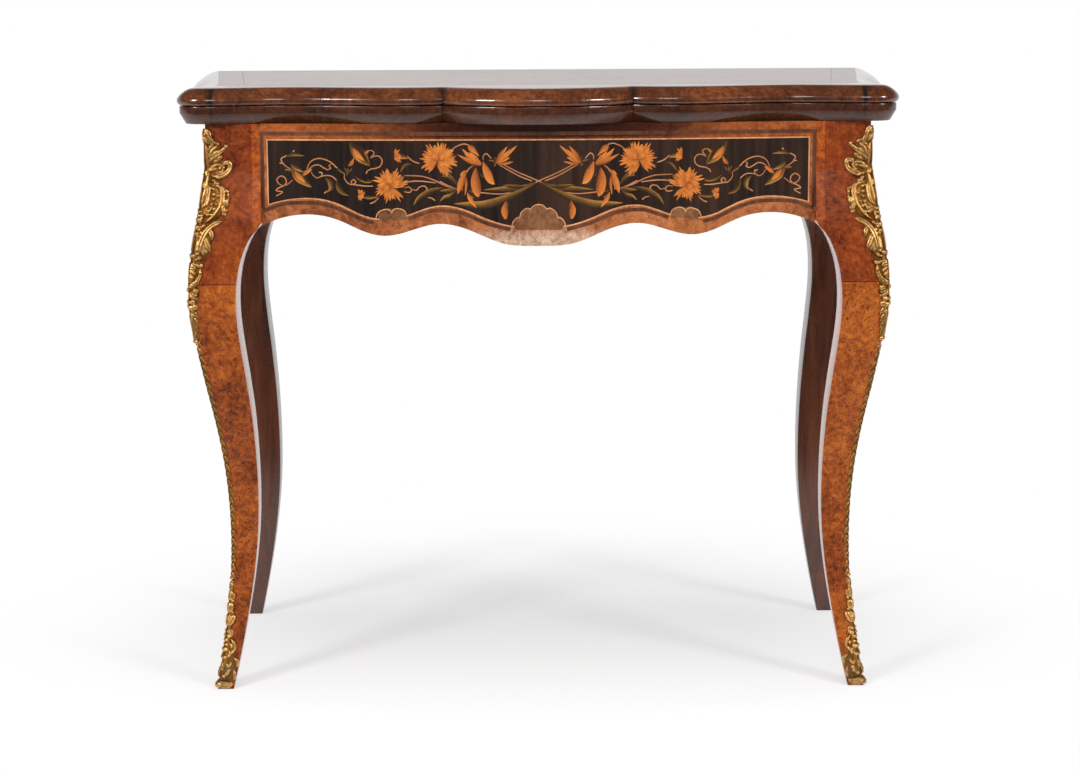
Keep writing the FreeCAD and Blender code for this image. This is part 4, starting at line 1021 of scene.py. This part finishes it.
def edge_moulding(leaf, level, profile, material):
    """Runs a profile of insets and levels round a leaf's edge and closes it against the board inside."""
    path = edge_path(edge_line(leaf + "_moulding", level))
    shape = bmesh.new()
    along = shape.verts.layers.int.new("along")
    row = [shape.verts.new((place.x, place.y, 0.0)) for place, _ in path]
    for number, corner in enumerate(row):
        corner[along] = number
    edges = [shape.edges.new(pair) for pair in zip(row, row[1:])]
    sides = []
    for step, (inset, height) in enumerate(profile):
        if step:
            grown = bmesh.ops.extrude_edge_only(shape, edges=edges)
            row = {part for part in grown["geom"] if isinstance(part, bmesh.types.BMVert)}
            touching = {edge for corner in row for edge in corner.link_edges}
            edges = [edge for edge in touching if edge.verts[0] in row and edge.verts[1] in row]
        for corner in row:
            place, inward = path[corner[along]]
            corner.co = (*(place + inward * inset * millimetre), height * millimetre)
        if step in (0, len(profile) - 1):
            sides.append((sorted(row, key=lambda corner: corner[along]), edges, height * millimetre))
    inner = []
    for row, edges, height in sides:
        board = [shape.verts.new((across, depth, height)) for across, depth in board_line]
        inner.append([shape.edges.new(pair) for pair in zip(board, board[1:])])
        ties = [shape.edges.new((row[0], board[0])), shape.edges.new((row[-1], board[-1]))]
        bmesh.ops.triangle_fill(shape, edges=edges + inner[-1] + ties, use_beauty=True)
    bmesh.ops.bridge_loops(shape, edges=inner[0] + inner[1])
    bmesh.ops.holes_fill(shape, edges=shape.edges[:], sides=0)
    finish_piece(shape, leaf + "_edge", material, leaf, "walnut", leaf + "_moulding")


board_right = [(0.4434, 0.2318), (0.404, -0.095), (0.404, -0.128), (0.384, -0.148)]
board_line = board_right + [(-across, depth) for across, depth in reversed(board_right)]
thumb_line = [
    (8.5, 748.1), (3.6, 749.0), (1.3, 750.6), (0.2, 752.8), (0.0, 755.2), (1.0, 758.1), (3.6, 761.3),
    (7.4, 764.6), (11.8, 767.4), (16.4, 769.2), (21.0, 770.0)]
thumb_steps = 24
upper_profile = [tuple(follow(thumb_line, step / thumb_steps)[0]) for step in range(thumb_steps + 1)]
lower_profile = [
    (3.8, 747.9), (3.2, 747.6), (3.0, 746.9), (3.0, 739.3), (3.35, 738.6), (10.4, 726.6), (11.4, 726.02)]
upper_cut, lower_cut = 0.7515, 0.744
edge_moulding("upper_leaf", upper_cut, upper_profile, upper_edge_walnut)
edge_moulding("lower_leaf", lower_cut, lower_profile, lower_edge_walnut)

# Leaf boards: walnut-veneered boards inside the mouldings, the upper one with a matched
# veneer field let into its top, ringed by a thin boxwood line.
top_dark, top_middle, top_pale = (0.04, 0.011, 0.004), (0.11, 0.034, 0.012), (0.19, 0.066, 0.024)
top_walnut = burr_walnut("top_walnut", top_dark, top_middle, top_pale, 0.7)
dress("upper_leaf_core", top_walnut)
dress("lower_leaf_core", lower_edge_walnut)
dress("top_field_veneer", top_walnut)


# Playing surfaces: the inner faces of the leaves, green woollen baize glued down inside a
# border of crossbanded walnut, so that the table is ready for cards when it is open.
baize_ease = 0.00025


def woollen_baize(name, shade, nap_colour):
    """Felted wool: a fine nap with faint cloudy wear."""
    material, start = new_finish(name)
    place = start.lay("TexCoord", output="Object")
    nap = place.lay("TexNoise", None, {"Vector": place, "Scale": 1500.0, "Detail": 4.0})
    fibres = place.lay("TexVoronoi", None, {"Vector": place, "Scale": 900.0})
    wear = place.lay("TexNoise", None, {"Vector": place, "Scale": 9.0, "Detail": 4.0})
    tone = nap * 0.6 + fibres * 0.25 + wear * 0.4 - 0.12
    colour = tone.lay("ValToRGB", {"stops": [(0.25, shade), (0.75, nap_colour)]}, {"Fac": tone})
    normal = start.lay("Bump", None, {"Height": nap + fibres, "Strength": 0.5, "Distance": 0.0005})
    cloth = {"Base Color": colour, "Roughness": nap * 0.1 + 0.86, "Normal": normal, "Sheen Weight": 0.35,
             "Sheen Roughness": 0.5, "Specular IOR Level": 0.2}
    start.lay("OutputMaterial", None, {"Surface": start.lay("BsdfPrincipled", None, cloth)})
    return material


green_baize = woollen_baize("green_baize", (0.008, 0.045, 0.02), (0.024, 0.125, 0.055))
border_walnut = banding("playing_border", (0.07, 0.016, 0.005), (0.19, 0.05, 0.013),
                        (0.32, 0.1, 0.028), (1, 0.3, 1))
for leaf in ("lower", "upper"):
    cloth = merged_copy(leaf + "_baize")
    bmesh.ops.dissolve_limit(cloth, angle_limit=math.radians(1), verts=cloth.verts[:], edges=cloth.edges[:])
    bmesh.ops.bevel(cloth, geom=cloth.edges[:], offset=baize_ease, offset_type="OFFSET", segments=2,
                    profile=0.5, affect="EDGES", material=-1)
    lining = finish_piece(cloth, leaf + "_baize_lining", green_baize, leaf + "_leaf", "baize",
                          leaf + "_baize")
    dress(leaf + "_playing_border", border_walnut)
dress("top_line", banding("top_string", (0.05, 0.018, 0.008), (0.085, 0.03, 0.012), (0.12, 0.044, 0.018)))


# Hinges: cast brass card-table hinges let into the rear edges of both leaves, their knuckles on
# steel pins and their plates held with slotted screws.
def cast_metal(name, dark, bright, metallic, smooth):
    """Handled metal: dull and dark in patches, brighter where it is rubbed."""
    material, start = new_finish(name)
    place = start.lay("TexCoord", output="Object")
    patch = place.lay("TexNoise", None, {"Vector": place, "Scale": 120.0, "Detail": 5.0})
    drawn = place.lay("Mapping", None, {"Vector": place, "Scale": (0.06, 1, 1)})
    scratch = place.lay("TexNoise", None, {"Vector": drawn, "Scale": 1400.0, "Detail": 2.0})
    colour = patch.lay("ValToRGB", {"stops": [(0.34, dark), (0.66, bright)]}, {"Fac": patch})
    normal = start.lay("Bump", None, {"Height": scratch + patch, "Strength": 0.2, "Distance": 0.0002})
    metal = {"Base Color": colour, "Roughness": scratch * 0.2 + smooth + patch * 0.12, "Normal": normal,
             "Metallic": metallic}
    start.lay("OutputMaterial", None, {"Surface": start.lay("BsdfPrincipled", None, metal)})
    return material


hinge_brass = cast_metal("hinge_brass", (0.27, 0.15, 0.045), (0.66, 0.43, 0.16), 1.0, 0.2)
for node in ("lower_hinge_plates", "upper_hinge_plates", "lower_hinge_screws", "upper_hinge_screws"):
    dress(node, hinge_brass)
pin_steel = cast_metal("pin_steel", (0.2, 0.19, 0.18), (0.46, 0.44, 0.42), 1.0, 0.26)
dress("hinge_pins", pin_steel)

# Swivel: a blackened iron plate with a spigot screwed under the lower leaf, turning in a brass bush
# in the pivot rail, kept by a washer and nut; a turned peg stops the top after a quarter turn.
swivel_iron = cast_metal("swivel_iron", (0.025, 0.022, 0.02), (0.11, 0.1, 0.092), 0.85, 0.42)
for node in ("pivot_plate", "pivot_screws", "pivot_washer", "pivot_nut"):
    dress(node, swivel_iron)
dress("pivot_bush", hinge_brass)
dress("stop_peg", carcass_oak)

# Side rails: one on each side, veneered with the same burr as the legs, and tenoned between
# the posts of the front and the rear leg.
side_burr = burr_walnut("side_rail_burr", leg_dark, leg_middle, leg_pale, 0.7)
for node in ("right_side_rail", "left_side_rail"):
    dress(node, side_burr)

# Well: an oak floor laid on battens under the leaves, closed by an upright divider to make a bay
# for the cards, and the pivot rail that crosses the frame beside it.
for node in ("pivot_rail", "well_floor", "well_divider", "floor_battens"):
    dress(node, carcass_oak)
